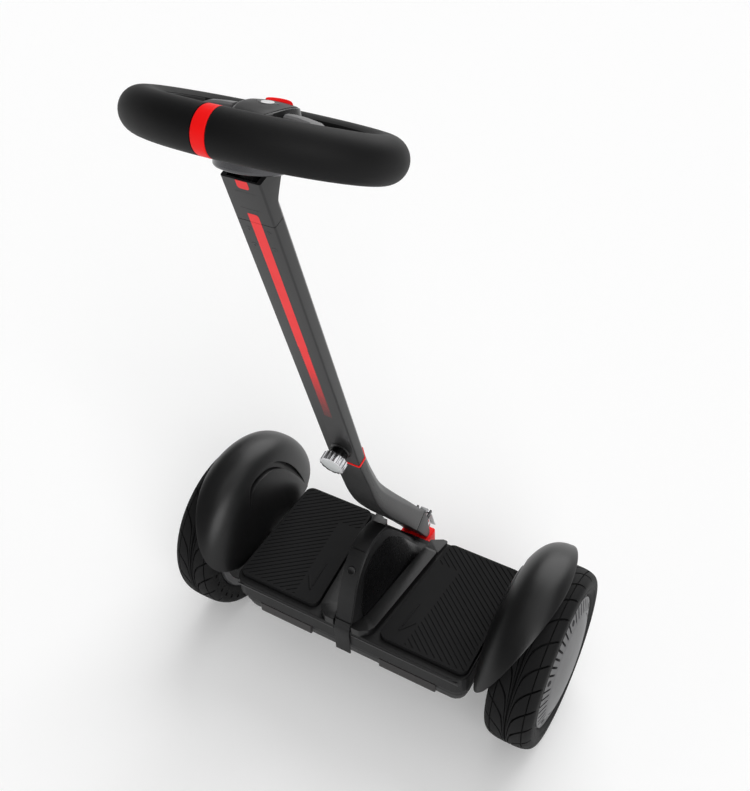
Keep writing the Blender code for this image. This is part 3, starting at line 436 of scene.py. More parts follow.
def cut(mesh, *cutters):
    """The mesh less the solids of other meshes."""
    tools = [linked("tool", cutter) for cutter in cutters]
    settings = {"operation": "DIFFERENCE", "solver": "EXACT"}
    made = finished(mesh, *[("BOOLEAN", {**settings, "object": tool}) for tool in tools])
    for tool in tools:
        bpy.data.objects.remove(tool, do_unlink=True)
    return smoothed(made)


def shown(name, mesh, finish, slot, body, *nodes):
    """A finished piece that rides on its body and stands for its CAD nodes."""
    mesh.transform(Matrix.Translation((0.0, AXLE_Y, 0.0)))
    mesh.materials.clear()
    mesh.materials.append(FINISH[finish])
    made = linked(name, mesh)
    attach(made, body)
    if nodes:
        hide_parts(*nodes)


def shown_pair(name, mesh, finish, slot, body, *nodes):
    """A piece of the right side, and its mirror image on the left."""
    for side, copy in (("left", mirrored(mesh, f"{name}_left")), ("right", mesh)):
        shown(f"{name}_{side}", copy, finish, slot, body, *[f"{node}_{side}" for node in nodes])


def shown_on_wheels(name, mesh, finish, slot, *nodes):
    """A piece drawn about the right wheel's middle, shown on both wheels."""
    for side, sign in SIDES:
        copy = mirrored(mesh, name) if sign < 0 else mesh.copy()
        copy.transform(Matrix.Translation((sign * WHEEL_X, 0.0, AXLE_Z)))
        shown(f"{name}_{side}", copy, finish, slot, f"wheel_{side}", *[f"{node}_{side}" for node in nodes])


# Finishes


def moulded_black():
    """Fine-grained moulded plastic of the body."""
    skin = Finish("moulded_black", (0.0046, 0.0046, 0.0049), 0.46, Specular_IOR_Level=0.34)
    grain = skin.noise(2600, 2.0)
    cloud = skin.noise(18, 3.0)
    skin.tinted(cloud, 1.35)
    skin.put("Roughness", 0.44 + cloud * 0.12 + grain * 0.05)
    skin.relief(grain, 0.00006)
    return skin.material


def satin_black():
    """Smooth satin plastic of the fenders."""
    skin = Finish("satin_black", (0.0030, 0.0030, 0.0032), 0.36, Specular_IOR_Level=0.40)
    swell = skin.noise(60, 2.0)
    grain = skin.noise(3200, 1.0)
    skin.tinted(swell, 1.25)
    skin.put("Roughness", 0.35 + swell * 0.06)
    skin.relief(grain, 0.00003)
    return skin.material


def gloss_black():
    skin = Finish("gloss_black", (0.0018, 0.0018, 0.0020), 0.24, Specular_IOR_Level=0.42)
    smear = skin.noise(45, 4.0)
    skin.tinted(smear, 1.4)
    skin.put("Roughness", 0.22 + smear * 0.10)
    skin.relief(smear, 0.00002)
    return skin.material


def mat_rubber():
    skin = Finish("mat_rubber", (0.0046, 0.0046, 0.0049), 0.68, Specular_IOR_Level=0.20)
    dust = skin.noise(35, 4.0)
    grain = skin.noise(1900, 3.0)
    skin.tinted(dust, 1.5)
    skin.put("Roughness", 0.66 + dust * 0.14)
    skin.relief(grain, 0.00008)
    return skin.material


def tyre_rubber():
    skin = Finish("tyre_rubber", (0.0026, 0.0026, 0.0028), 0.60, Specular_IOR_Level=0.20)
    dust = skin.noise(40, 5.0, 0.6)
    grain = skin.noise(2200, 2.0)
    skin.tinted(dust, 1.6)
    skin.put("Roughness", 0.60 + dust * 0.18)
    skin.relief(grain, 0.00007)
    return skin.material


def grip_skin():
    """Soft foam skin of the round grip."""
    skin = Finish("grip_skin", (0.0018, 0.0018, 0.0020), 0.50, Specular_IOR_Level=0.20)
    pores = skin.node("ShaderNodeTexVoronoi", sockets={"Vector": skin.place, "Scale": 1500.0})
    cloud = skin.noise(25, 3.0)
    skin.tinted(cloud, 1.3)
    skin.put("Roughness", 0.54 + cloud * 0.10)
    skin.relief(pores, 0.00004)
    return skin.material


def column_paint():
    skin = Finish("column_paint", (0.018, 0.018, 0.0184), 0.40, Specular_IOR_Level=0.42)
    flake = skin.noise(2800, 2.0)
    cloud = skin.noise(14, 3.0)
    skin.tinted(cloud, 1.2)
    skin.put("Roughness", 0.34 + cloud * 0.06 + flake * 0.04)
    skin.relief(flake, 0.00004)
    return skin.material


def signal_red():
    skin = Finish("signal_red", (1.0, 0.007, 0.007), 0.46, Specular_IOR_Level=0.14)
    cloud = skin.noise(60, 3.0)
    skin.tinted(cloud, 0.90)
    skin.put("Roughness", 0.38 + cloud * 0.10)
    skin.relief(skin.noise(1800, 2.0), 0.00003)
    return skin.material


def printed_red():
    """The paler red print on the column."""
    skin = Finish("printed_red", (1.0, 0.066, 0.070), 0.55, Specular_IOR_Level=0.14)
    cloud = skin.noise(80, 3.0)
    skin.tinted(cloud, 0.92)
    skin.put("Roughness", 0.50 + cloud * 0.10)
    return skin.material


def hub_metal():
    """Satin cast metal of the wheel faces."""
    skin = Finish("hub_metal", (0.115, 0.115, 0.118), 0.42, Metallic=0.55)
    cast = skin.noise(1400, 3.0)
    cloud = skin.noise(22, 3.0)
    skin.tinted(cloud, 0.86)
    skin.put("Roughness", 0.38 + cloud * 0.10)
    skin.relief(cast, 0.00005)
    return skin.material


def frame_metal():
    skin = Finish("frame_metal", (0.34, 0.34, 0.35), 0.48, Metallic=0.9)
    blast = skin.noise(1700, 3.0)
    skin.put("Roughness", 0.42 + blast * 0.16)
    skin.relief(blast, 0.00006)
    return skin.material


def boss_metal():
    """Dark polished metal under the round grip."""
    skin = Finish("boss_metal", (0.10, 0.10, 0.105), 0.22, Metallic=0.85)
    lathe = skin.noise(30, 3.0, place=skin.stretched(1, 1, 60))
    skin.put("Roughness", 0.18 + lathe * 0.10)
    skin.relief(lathe, 0.00002)
    return skin.material


def bright_chrome():
    skin = Finish("bright_chrome", (0.72, 0.72, 0.74), 0.12, Metallic=1.0)
    smear = skin.noise(140, 4.0)
    scratch = skin.noise(60, 2.0, place=skin.stretched(1, 30, 1))
    skin.put("Roughness", 0.08 + smear * 0.10)
    skin.relief(scratch, 0.000015)
    return skin.material


def pale_satin():
    """Satin face of the height knob."""
    skin = Finish("pale_satin", (0.62, 0.64, 0.64), 0.38, Metallic=0.35)
    swirl = skin.noise(200, 3.0)
    skin.tinted(swirl, 0.93)
    skin.put("Roughness", 0.34 + swirl * 0.08)
    return skin.material


def panel_grey():
    """Satin dark grey of the pod's top."""
    skin = Finish("panel_grey", (0.0060, 0.0060, 0.0064), 0.40, Specular_IOR_Level=0.36)
    grain = skin.noise(2400, 2.0)
    cloud = skin.noise(40, 3.0)
    skin.tinted(cloud, 1.3)
    skin.put("Roughness", 0.38 + cloud * 0.08)
    skin.relief(grain, 0.00003)
    return skin.material


def arm_grey():
    """Pale satin covers on the rim's arms."""
    skin = Finish("arm_grey", (0.13, 0.13, 0.132), 0.44, Specular_IOR_Level=0.35)
    grain = skin.noise(2200, 2.0)
    cloud = skin.noise(30, 3.0)
    skin.tinted(cloud, 1.2)
    skin.put("Roughness", 0.40 + cloud * 0.08)
    skin.relief(grain, 0.00003)
    return skin.material


def machined_steel():
    skin = Finish("machined_steel", (0.42, 0.42, 0.43), 0.30, Metallic=1.0)
    lines = skin.noise(90, 2.0, place=skin.stretched(20, 1, 1))
    skin.put("Roughness", 0.24 + lines * 0.16)
    skin.relief(lines, 0.00002)
    return skin.material


def dark_screw():
    skin = Finish("dark_screw", (0.03, 0.03, 0.032), 0.35, Metallic=0.8)
    wear = skin.noise(900, 3.0)
    skin.put("Roughness", 0.28 + wear * 0.2)
    return skin.material


def windings():
    """Varnished copper windings of the hub motors."""
    skin = Finish("windings", (0.42, 0.17, 0.06), 0.40, Metallic=0.85)
    turns = skin.node("ShaderNodeTexWave", {"bands_direction": "X"}, {"Vector": skin.place, "Scale": 420.0})
    skin.tinted(turns, 0.55)
    skin.put("Roughness", 0.34 + turns * 0.12)
    skin.relief(turns, 0.0002)
    return skin.material


def red_lens():
    skin = Finish("red_lens", (0.0040, 0.0012, 0.0012), 0.22, Specular_IOR_Level=0.40)
    ribs = skin.node("ShaderNodeTexWave", {"bands_direction": "X"}, {"Vector": skin.place, "Scale": 160.0})
    skin.tinted(ribs, 0.5)
    skin.put("Roughness", 0.18 + ribs * 0.10)
    return skin.material


def clear_lens():
    skin = Finish("clear_lens", (0.60, 0.62, 0.64), 0.16, Specular_IOR_Level=0.5)
    ribs = skin.node("ShaderNodeTexWave", {"bands_direction": "X"}, {"Vector": skin.place, "Scale": 120.0})
    skin.tinted(ribs, 0.8)
    skin.relief(ribs, 0.0003)
    return skin.material


def button_white():
    skin = Finish("button_white", (0.80, 0.80, 0.80), 0.36)
    smear = skin.noise(300, 3.0)
    skin.tinted(smear, 0.94)
    skin.put("Roughness", 0.32 + smear * 0.08)
    return skin.material


def circuit_green():
    """Solder resist with brighter tracks under it."""
    skin = Finish("circuit_green", (0.012, 0.10, 0.04), 0.40)
    cells = skin.node(
        "ShaderNodeTexVoronoi", {"distance": "MANHATTAN", "feature": "F1"},
        {"Vector": skin.place, "Scale": 220.0}
    )
    tracks = cells > 0.42
    skin.tinted(tracks, 2.2)
    skin.put("Roughness", 0.36 + tracks * 0.12)
    skin.relief(tracks, 0.00005)
    return skin.material


def shrink_wrap():
    skin = Finish("shrink_wrap", (0.02, 0.055, 0.16), 0.34)
    creases = skin.noise(70, 3.0, place=skin.stretched(1, 4, 1))
    skin.tinted(creases, 1.4)
    skin.put("Roughness", 0.28 + creases * 0.14)
    skin.relief(creases, 0.0006)
    return skin.material


FINISH = {
    maker.__name__: maker()
    for maker in (
        moulded_black, satin_black, gloss_black, mat_rubber, tyre_rubber, grip_skin, column_paint, signal_red,
        printed_red, hub_metal, frame_metal, boss_metal, bright_chrome, pale_satin, machined_steel,
        dark_screw,
        windings, red_lens, clear_lens, button_white, circuit_green, shrink_wrap, panel_grey, arm_grey,
    )
}

# The finish of each CAD node, by the start of its name
NODE_FINISH = {
    "axle": "machined_steel", "battery_pack": "shrink_wrap", "charging_flap": "mat_rubber",
    "charging_socket": "gloss_black", "chassis_frame": "frame_metal", "clamp_screw": "machined_steel",
    "column": "column_paint", "control_board": "circuit_green", "dash_crest": "signal_red",
    "dash_housing": "gloss_black", "deck_cover": "moulded_black", "fender": "satin_black",
    "foot_mat": "mat_rubber", "headlight": "clear_lens", "height_collar": "signal_red",
    "height_knob": "bright_chrome", "hub": "hub_metal", "hump": "moulded_black", "inner_mast": "frame_metal",
    "knob_collar": "gloss_black", "latch": "bright_chrome", "latch_bracket": "dark_screw",
    "lower_shell": "moulded_black",
    "mode_button": "button_white", "motor_stator": "windings", "neck": "column_paint",
    "power_button": "moulded_black", "pressure_switch": "gloss_black", "rim_band": "signal_red",
    "rim_boss": "boss_metal", "rim_frame": "gloss_black", "rim_grip": "grip_skin", "rim_shell": "hub_metal",
    "side_rail": "moulded_black", "spine_cover": "moulded_black", "steering_shaft": "machined_steel",
    "stem_foot": "signal_red", "tail_light": "red_lens", "torsion_bush": "mat_rubber", "tyre": "tyre_rubber",
}


def dress_nodes():
    for name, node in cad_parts.items():
        start = max((key for key in NODE_FINISH if name.startswith(key)), key=len)
        for place in node.material_slots:
            place.material = FINISH[NODE_FINISH[start]]


# Repeating patterns


def around_axis():
    """Copies of the seed, turned evenly about the X axis."""
    pattern = Pattern("around_axis", Copies=12, Step=TURN / 12)
    spots = pattern.node("GeometryNodePoints", sockets={"Count": pattern.given("Copies")})
    turn = pattern.node("GeometryNodeInputIndex") * pattern.given("Step")
    angles = pattern.node("ShaderNodeCombineXYZ", sockets={"X": turn})
    rotation = pattern.node("FunctionNodeEulerToRotation", sockets={"Euler": angles})
    copies = pattern.node("GeometryNodeInstanceOnPoints", sockets={
        "Points": spots, "Instance": pattern.given("Geometry"), "Rotation": rotation,
    })
    return pattern.close(copies)


AROUND_AXIS = around_axis()


# Tyres

SIPES = [
    (0.0018, -36.0), (0.0025, -31.0), (0.0033, -26.0), (0.0040, -22.0), (0.0052, -17.0), (0.0074, -12.0),
    (0.0110, -9.0), (0.0150, -6.6), (0.0205, -4.2), (0.0262, -2.2), (0.0330, 0.0), (0.0350, 0.4),
]
SIPE_WIDTHS = [
    (0.0016, 0.0), (0.0030, 0.0009), (0.0052, 0.0018), (0.0090, 0.0025), (0.0262, 0.0029), (0.0320, 0.0026),
    (0.0342, 0.0),
]
SIPE_DEPTH = 0.0034
LONG_GROOVES = ((0.0, 0.0013, 0.0034), (0.0233, 0.0007, 0.0024))
PITCHES = 24
PITCH = TURN / PITCHES
HOLES_IN_SECTOR = 3
SECTOR = 2 * PITCH
TREAD_PHASE = math.radians(5.6)


def crown(u):
    """The tyre's radius at a distance from its middle plane."""
    share = min(1.0, abs(u) / TYRE_HALF_WIDTH)
    return TYRE_RADIUS - TYRE_CROWN_DROP * (1 - (1 - share**CROWN_FLATNESS) ** (1 / CROWN_SHOULDER))


def crown_point(u, depth):
    """(u, radius) of a point sunk below the crown, square to it."""
    step = 0.0001
    slope = (crown(u + step) - crown(u - step)) / (2 * step)
    length = math.hypot(1.0, slope)
    return u + depth * slope / length, crown(u) - depth / length


def tread_row(u):
    """The points of one row across a sector: (u, radius, angle)."""
    size = abs(u)
    lag = math.radians(read(SIPES, size))
    run = abs(math.radians(read(SIPES, size + 0.0004) - read(SIPES, size - 0.0004)) / 0.0008 * TYRE_RADIUS)
    half = read(SIPE_WIDTHS, size) / 2 * math.sqrt(1 + run * run) / TYRE_RADIUS / PITCH
    half = max(0.035, min(0.30, half))
    sunk = SIPE_DEPTH * min(1.0, read(SIPE_WIDTHS, size) / 0.0012)
    long_depth = 0.0
    for middle, half_width, depth in LONG_GROOVES:
        if abs(size - middle) < half_width * 0.8:
            long_depth = depth
    steps = [
        (-0.5, 0.0), ((-0.5 - half) / 2, 0.0), (-half, 0.0), (-half * 0.55, sunk), (half * 0.55, sunk),
        (half, 0.0), ((0.5 + half) / 2, 0.0),
    ]
    row = []
    for pitch in range(2):
        for share, depth in steps:
            across, radius = crown_point(u, max(depth, long_depth))
            row.append((across, radius, lag + TREAD_PHASE + (share + pitch) * PITCH))
    across, radius = crown_point(u, long_depth)
    row.append((across, radius, lag + TREAD_PHASE + 1.5 * PITCH))
    return row


def tyre_sector():
    """Two pitches of the tread with the sidewalls and bead below them."""
    sizes = [
        0.0, 0.0009, 0.0013, 0.0019, 0.0025, 0.0033, 0.0042, 0.0054, 0.0074, 0.0105, 0.0140, 0.0175, 0.0205,
        0.0225, 0.0229, 0.0237, 0.0241, 0.0262, 0.0285, 0.0303, 0.0318, 0.0330, 0.0340, 0.0347,
    ]
    across = sizes[:0:-1]
    rows = [tread_row(u) for u in across] + [tread_row(0.0)] + [tread_row(-u) for u in reversed(across)]
    angles = [angle for _, _, angle in rows[0]]
    outer = [
        (0.0300, 0.0998), (0.0322, 0.1022), (0.0333, 0.1045), (0.0342, 0.1075), (0.0346, 0.1100),
        (0.0355, 0.1112), (0.0355, 0.1120), (0.0350, 0.1132), (0.0354, 0.1160), (0.0355, 0.1190),
    ]
    rows = [[(u, r, a) for a in angles] for u, r in outer] + rows
    upper = [[(-0.0355, 0.1205, a) for a in angles]]
    lower = [[(u, r, a) for a in angles] for u, r in (
        (-0.0340, 0.1068), (-0.0328, 0.1035), (-0.0300, 0.0998),
    )]
    bm = bmesh.new()

    def laid(group):
        return [[bm.verts.new(turned(u, r, a)) for u, r, a in row] for row in group]

    def turned(u, r, a):
        return (u, r * math.sin(a), r * math.cos(a))

    top, bottom = laid(rows + upper), laid(lower)
    for group in (top, bottom, [bottom[-1], top[0]]):
        for first, second in zip(group, group[1:]):
            for i in range(len(angles) - 1):
                bm.faces.new((first[i], first[i + 1], second[i + 1], second[i]))
    wall(bm, top[-1], bottom[0], angles)
    return mesh_of(bm, "tyre_sector", outward=False)


def wall(bm, upper, lower, angles):
    """The inner sidewall between two rows, with its oval holes and small dents."""
    def on_wall(radius, angle, sunk=0.0):
        u = read([(0.1068, -0.0340), (0.1130, -0.0352), (0.1205, -0.0355)], radius) + sunk
        return (u, radius * math.sin(angle), radius * math.cos(angle))

    start, end = angles[0], angles[-1]
    mids = [bm.verts.new(on_wall(0.1130, angle)) for angle in (start, end)]
    border = list(upper) + [mids[1]] + list(lower[::-1]) + [mids[0]]
    edges = []
    for a, b in zip(border, border[1:] + border[:1]):
        edges.append(bm.edges.get((a, b)) or bm.edges.new((a, b)))
    holes = []
    for i in range(HOLES_IN_SECTOR):
        middle = start + SECTOR * (i + 0.5) / HOLES_IN_SECTOR
        holes.append((0.1163, middle, 0.0032, 0.0029, 0.0090, 14))
        holes.append((0.1101, middle, 0.0014, 0.0010, 0.0012, 8))
    for radius, middle, tall, wide, depth, count in holes:
        rim, floor = [], []
        for k in range(count):
            turn = TURN * k / count
            r = radius + tall * math.sin(turn)
            a = middle + wide * math.cos(turn) / radius
            rim.append(bm.verts.new(on_wall(r, a)))
            floor.append(
                bm.verts.new(on_wall(radius + (r - radius) * 0.8, middle + (a - middle) * 0.8, depth))
            )
        edges += [bm.edges.new((a, b)) for a, b in zip(rim, rim[1:] + rim[:1])]
        for k in range(count):
            j = (k + 1) % count
            bm.faces.new((rim[k], rim[j], floor[j], floor[k]))
        bm.faces.new(floor)
    bmesh.ops.triangle_fill(bm, use_beauty=True, use_dissolve=False, edges=edges)


def build_tyres():
    tyre = AROUND_AXIS.grow(
        "tyre_tread", tyre_sector(), "tyre_rubber", weld=0.00002, sharp=28, Copies=PITCHES // 2, Step=SECTOR
    )
    shown_on_wheels("tyre_tread", tyre, "tyre_rubber", "tyre_rubber", "tyre")


# Fenders

FENDER_HALF = FENDER_FULL_WIDTH / 2
FENDER_ROWS = 128
# The arched recess on the inboard face: (degrees from the top, radius) of its two edges, then its depth
RECESS_UPPER = [
    (-27, 0.1040), (-23.5, 0.1118), (-15.5, 0.1249), (-8, 0.1292), (4, 0.1292), (16.5, 0.1275),
    (28, 0.1194), (42, 0.1086), (55, 0.1008), (72, 0.0950),
]
RECESS_LOWER = [
    (-27, 0.1036), (-23.5, 0.1088), (-15.5, 0.1180), (-7.5, 0.1214), (1.5, 0.1208), (11.5, 0.1188),
    (22.5, 0.1122), (32.5, 0.1042), (46, 0.0968), (61, 0.0938), (72, 0.0944),
]
RECESS_DEPTH = [(-27, 0.0), (-16, 0.0085), (36, 0.0085), (72, 0.0)]


def smooth_table(table):
    return [(point.x, point.y) for point in smooth_path(table, 8)]


def fender_station(radius):
    """Where on the fender's cross-section a radius lies, as the parameter of its curve."""
    share = (radius - FENDER_BASE_RADIUS) / FENDER_HEIGHT
    return math.asin(share ** (FENDER_POWER / 2))


def fender_end_station(angle):
    share = max(0.0, math.cos(angle * math.radians(90) / FENDER_END))
    u = (max(0.0045, FENDER_REACH * share**0.8) - FENDER_HALF) / FENDER_HALF
    return math.acos(-math.copysign(abs(u) ** (FENDER_POWER / 2), u))


def fender_point(station, angle, sunk=0.0):
    across = math.cos(station)
    u = -math.copysign(abs(across) ** (2 / FENDER_POWER), across)
    radius = FENDER_BASE_RADIUS + FENDER_HEIGHT * math.sin(station) ** (2 / FENDER_POWER)
    x = FENDER_INNER_X + FENDER_HALF * (1 + u) + sunk
    return (x, FENDER_Y + radius * math.sin(angle), FENDER_Z + radius * math.cos(angle))


def fender_mesh():
    upper, lower = smooth_table(RECESS_UPPER), smooth_table(RECESS_LOWER)
    bm = bmesh.new()
    rows = []
    for i in range(FENDER_ROWS + 1):
        angle = FENDER_END * (2 * i / FENDER_ROWS - 1)
        degrees = math.degrees(angle)
        end = fender_end_station(angle)
        top = min(fender_station(read(upper, degrees)), 0.8 * end)
        low = min(fender_station(read(lower, degrees)), top - 0.002)
        sunk = read(RECESS_DEPTH, degrees)
        line = [fender_point(low * k / 8, angle) for k in range(9)]
        line += [fender_point(low + (top - low) * k / 3, angle, sunk) for k in range(4)]
        line += [fender_point(top + (end - top) * k / 36, angle) for k in range(37)]
        rows.append([bm.verts.new(point) for point in line])
    middle = bm.verts.new((FENDER_INNER_X, FENDER_Y, FENDER_Z))
    for first, second in zip(rows, rows[1:]):
        bm.faces.new((middle, second[0], first[0]))
        for j in range(len(first) - 1):
            bm.faces.new((first[j], second[j], second[j + 1], first[j + 1]))
    bmesh.ops.bisect_plane(
        bm, geom=list(bm.verts) + list(bm.edges) + list(bm.faces), dist=1e-6,
        plane_co=(0, 0, FENDER_FOOT_Z), plane_no=(0, 0, -1), clear_outer=True,
    )
    bmesh.ops.recalc_face_normals(bm, faces=bm.faces)
    heart = Vector((WHEEL_X, 0.0, AXLE_Z))
    if sum((face.calc_center_median() - heart).dot(face.normal) * face.calc_area() for face in bm.faces) < 0:
        bmesh.ops.reverse_faces(bm, faces=bm.faces)
    skin = {"thickness": FENDER_SKIN, "offset": -1.0, "use_even_offset": False}
    mesh = finished(mesh_of(bm, "fender", outward=False), ("SOLIDIFY", skin))
    return bevelled(mesh, 0.0006, segments=2, angle=60, sharp=42)


def build_fenders():
    shown_pair("fender_shell", fender_mesh(), "satin_black", "body_black", "chassis", "fender")


# Wheel faces

HUB_RING_RADIUS = 0.0985
HUB_CAP_RADIUS = 0.0750
HUB_BASE = 0.0293
BOSS_ANGLE = 26.7
BOSS_STEP = 60
SLOT_STEP = 7.5
BOSS_AT = 0.0870
HUB_RIM_HEIGHT = 0.0320
HUB_CONE_SLOPE = 0.2545
# The wheel's faces are drawn flat and then turned to look along +X
FACE_OUTWARD = Matrix(((0, 0, 1), (1, 0, 0), (0, 1, 0))).to_4x4()


def turned_loop(loop, degrees, reach=0.0):
    """A flat loop moved out along X and then turned about the middle."""
    c, s = math.cos(math.radians(degrees)), math.sin(math.radians(degrees))
    return [((x + reach) * c - y * s, (x + reach) * s + y * c) for x, y in loop]


def slot_loop(length, half_width):
    far, near = length / 2 - half_width, half_width - length / 2
    return arc((far, 0), half_width, -90, 90, 5) + arc((near, 0), half_width, 90, 270, 5)


def slot_between(start, end, half_width):
    """The outline of a slot that runs from near one point to near another."""
    run, middle = Vector(end) - Vector(start), (Vector(start) + Vector(end)) / 2
    loop = turned_loop(slot_loop(run.length, half_width), math.degrees(math.atan2(run.y, run.x)))
    return [(x + middle.x, y + middle.y) for x, y in loop]


def hub_sector():
    """A sixth of the slotted ring: one screw hole and seven radial slots."""
    start = BOSS_ANGLE - SLOT_STEP / 2
    end = start + BOSS_STEP
    inner = HUB_CAP_RADIUS + 0.0005
    loops = [arc((0, 0), HUB_RING_RADIUS, start, end, 17) + arc((0, 0), inner, end, start, 13)]
    loops.append(turned_loop(arc((0, 0), 0.0046, 0, 342, 20), BOSS_ANGLE, BOSS_AT))
    for k in range(1, 8):
        loops.append(turned_loop(slot_loop(0.0184, 0.00175), BOSS_ANGLE + k * SLOT_STEP, BOSS_AT))
    mesh = plate("hub_sector", loops, HUB_BASE + 0.0004, HUB_RIM_HEIGHT)
    bm = bmesh.new()
    bm.from_mesh(mesh)
    sides = []
    for face in bm.faces:
        turns = [math.degrees(math.atan2(vertex.co.y, vertex.co.x)) for vertex in face.verts]
        if any(all(abs(turn - edge) < 0.01 for turn in turns) for edge in (start, end)):
            sides.append(face)
    bmesh.ops.delete(bm, geom=sides, context="FACES_ONLY")
    for vertex in bm.verts:
        radius = math.hypot(vertex.co.x, vertex.co.y)
        if vertex.co.z > 0.031:
            if radius > 0.0980:
                vertex.co.x, vertex.co.y = vertex.co.x * 0.0977 / radius, vertex.co.y * 0.0977 / radius
            vertex.co.z = HUB_RIM_HEIGHT + HUB_CONE_SLOPE * (HUB_RING_RADIUS - radius)
    bmesh.ops.transform(bm, matrix=FACE_OUTWARD, verts=bm.verts)
    return mesh_of(bm, "hub_sector", outward=False)


def hub_screw():
    """A socket screw sunk in the ring."""
    six = [(0.0014 * math.cos(TURN * k / 6), 0.0014 * math.sin(TURN * k / 6)) for k in range(6)]
    head = arc((0, 0), 0.0030, 0, 345, 24)
    body = plate("head", [head, six], 0.0304, 0.0334)
    bed = plate("bed", [arc((0, 0), 0.0029, 0, 345, 24)], 0.0303, 0.0312)
    both = joined("hub_screw", bevelled(body, 0.0003, 2), bed)
    at = turned_loop([(0.0, 0.0)], BOSS_ANGLE, BOSS_AT)[0]
    both.transform(FACE_OUTWARD @ Matrix.Translation((at[0], at[1], 0.0)))
    return both


def build_wheel_faces():
    ring = AROUND_AXIS.grow(
        "hub_face", hub_sector(), "hub_metal", weld=0.00002, sharp=30, Copies=6, Step=math.radians(BOSS_STEP)
    )
    screws = AROUND_AXIS.grow("hub_screws", hub_screw(), "dark_screw", Copies=6, Step=math.radians(BOSS_STEP))
    # A thin black ring under the slots is painted shade: it stands for the shadowed hollow of the hub seen
    # through them.
    backing = spun(
        "hub_slot_shade", [
            (0.0970, HUB_BASE), (0.0970, 0.0299), (0.0756, 0.0299), (0.0756, HUB_BASE)
        ], 96, FACE_OUTWARD
    )
    dome_line = smooth_path(
        [(0.0001, 0.0445), (0.0250, 0.0437), (0.0480, 0.0417), (0.0660, 0.0392), (0.0740, 0.0377),
        (0.0750, 0.0366)], 5
    )
    dome = spun(
        "hub_dome", [(p.x, p.y) for p in dome_line] + [
            (0.0750, HUB_BASE), (0.0001, HUB_BASE)
        ], 120, FACE_OUTWARD
    )
    shown_on_wheels("hub_face", ring, "hub_metal", "hub_silver", "hub_ring")
    shown_on_wheels("hub_screws", screws, "dark_screw", "hub_silver")
    shown_on_wheels("hub_slot_shade", backing, "gloss_black", "gloss_black")
    shown_on_wheels("hub_dome", dome, "hub_metal", "hub_silver", "hub_cap")


# Foot mats

GROOVE_SLOPE = -0.80
GROOVE_FIRST = 0.1691
GROOVE_STEP = 0.0092
GROOVE_HALF = 0.00075
GROOVE_DEPTH = 0.0012
GROOVED_FROM = (0.102, 0.09)
OPEN_FROM_Y = 0.052
MAT_BORDER = 0.0042
MAT_TAPER = 0.0856


def mat_inner_x(y):
    return 0.0609 + MAT_TAPER * y


def mat_outline():
    corners = [
        (mat_inner_x(MAT_REAR_Y), MAT_REAR_Y), (MAT_OUTER_X, MAT_REAR_Y),
        (MAT_OUTER_X, MAT_FRONT_Y), (mat_inner_x(MAT_FRONT_Y), MAT_FRONT_Y),
    ]
    return rounded(corners, MAT_CORNER, 8)


def cut_top(bm, point, across):
    """Cuts the faces of the mat's top along a line through a point, square to a direction."""
    top = [
        face
        for face in bm.faces if face.normal.z > 0.99 and face.calc_center_median().z > MAT_TOP_Z - 0.0001
    ]
    geometry = set(top)
    for face in top:
        geometry.update(face.edges)
        geometry.update(face.verts)
    bmesh.ops.bisect_plane(
        bm, geom=list(geometry), dist=1e-7, plane_co=(*point, MAT_TOP_Z), plane_no=(*across, 0.0)
    )


def in_groove(x, y):
    rise = (y - GROOVE_SLOPE * x - GROOVE_FIRST) / GROOVE_STEP
    near = abs(rise - round(rise)) * GROOVE_STEP < GROOVE_HALF * math.hypot(1.0, GROOVE_SLOPE)
    start = GROOVED_FROM[0] + GROOVED_FROM[1] * y if y < OPEN_FROM_Y else mat_inner_x(y) + MAT_BORDER
    inside = start < x < MAT_OUTER_X - MAT_BORDER and MAT_REAR_Y + MAT_BORDER < y < MAT_FRONT_Y - MAT_BORDER
    return near and inside


def mat_mesh():
    solid = bevelled(plate("foot_mat", [mat_outline()], MAT_BOTTOM_Z, MAT_TOP_Z), 0.0032, 5, angle=60)
    bm = bmesh.new()
    bm.from_mesh(solid)
    bm.normal_update()
    square = Vector((-GROOVE_SLOPE, 1.0)).normalized()
    offset = GROOVE_HALF * math.hypot(1.0, GROOVE_SLOPE)
    for k in range(-22, 9):
        for edge in (-offset, offset):
            cut_top(bm, (0.0, GROOVE_FIRST + k * GROOVE_STEP + edge), tuple(square))
    cut_top(bm, (GROOVED_FROM[0], 0.0), (1.0, -GROOVED_FROM[1]))
    cut_top(bm, (mat_inner_x(0.0) + MAT_BORDER, 0.0), (1.0, -MAT_TAPER))
    cut_top(bm, (0.0, OPEN_FROM_Y), (0.0, 1.0))
    cut_top(bm, (0.0, MAT_REAR_Y + MAT_BORDER), (0.0, 1.0))
    cut_top(bm, (0.0, MAT_FRONT_Y - MAT_BORDER), (0.0, 1.0))
    cut_top(bm, (MAT_OUTER_X - MAT_BORDER, 0.0), (1.0, 0.0))
    bm.normal_update()
    grooves = []
    for face in bm.faces:
        middle = face.calc_center_median()
        if face.normal.z > 0.99 and middle.z > MAT_TOP_Z - 0.0001 and in_groove(middle.x, middle.y):
            grooves.append(face)
    made = bmesh.ops.extrude_face_region(bm, geom=grooves)["geom"]
    bmesh.ops.translate(
        bm, verts=[v for v in made if isinstance(v, bmesh.types.BMVert)], vec=(0, 0, -GROOVE_DEPTH)
    )
    bmesh.ops.delete(bm, geom=grooves, context="FACES_ONLY")
    bmesh.ops.delete(bm, geom=[edge for edge in bm.edges if not edge.link_faces], context="EDGES")
    return mesh_of(bm, "foot_mat", outward=False)


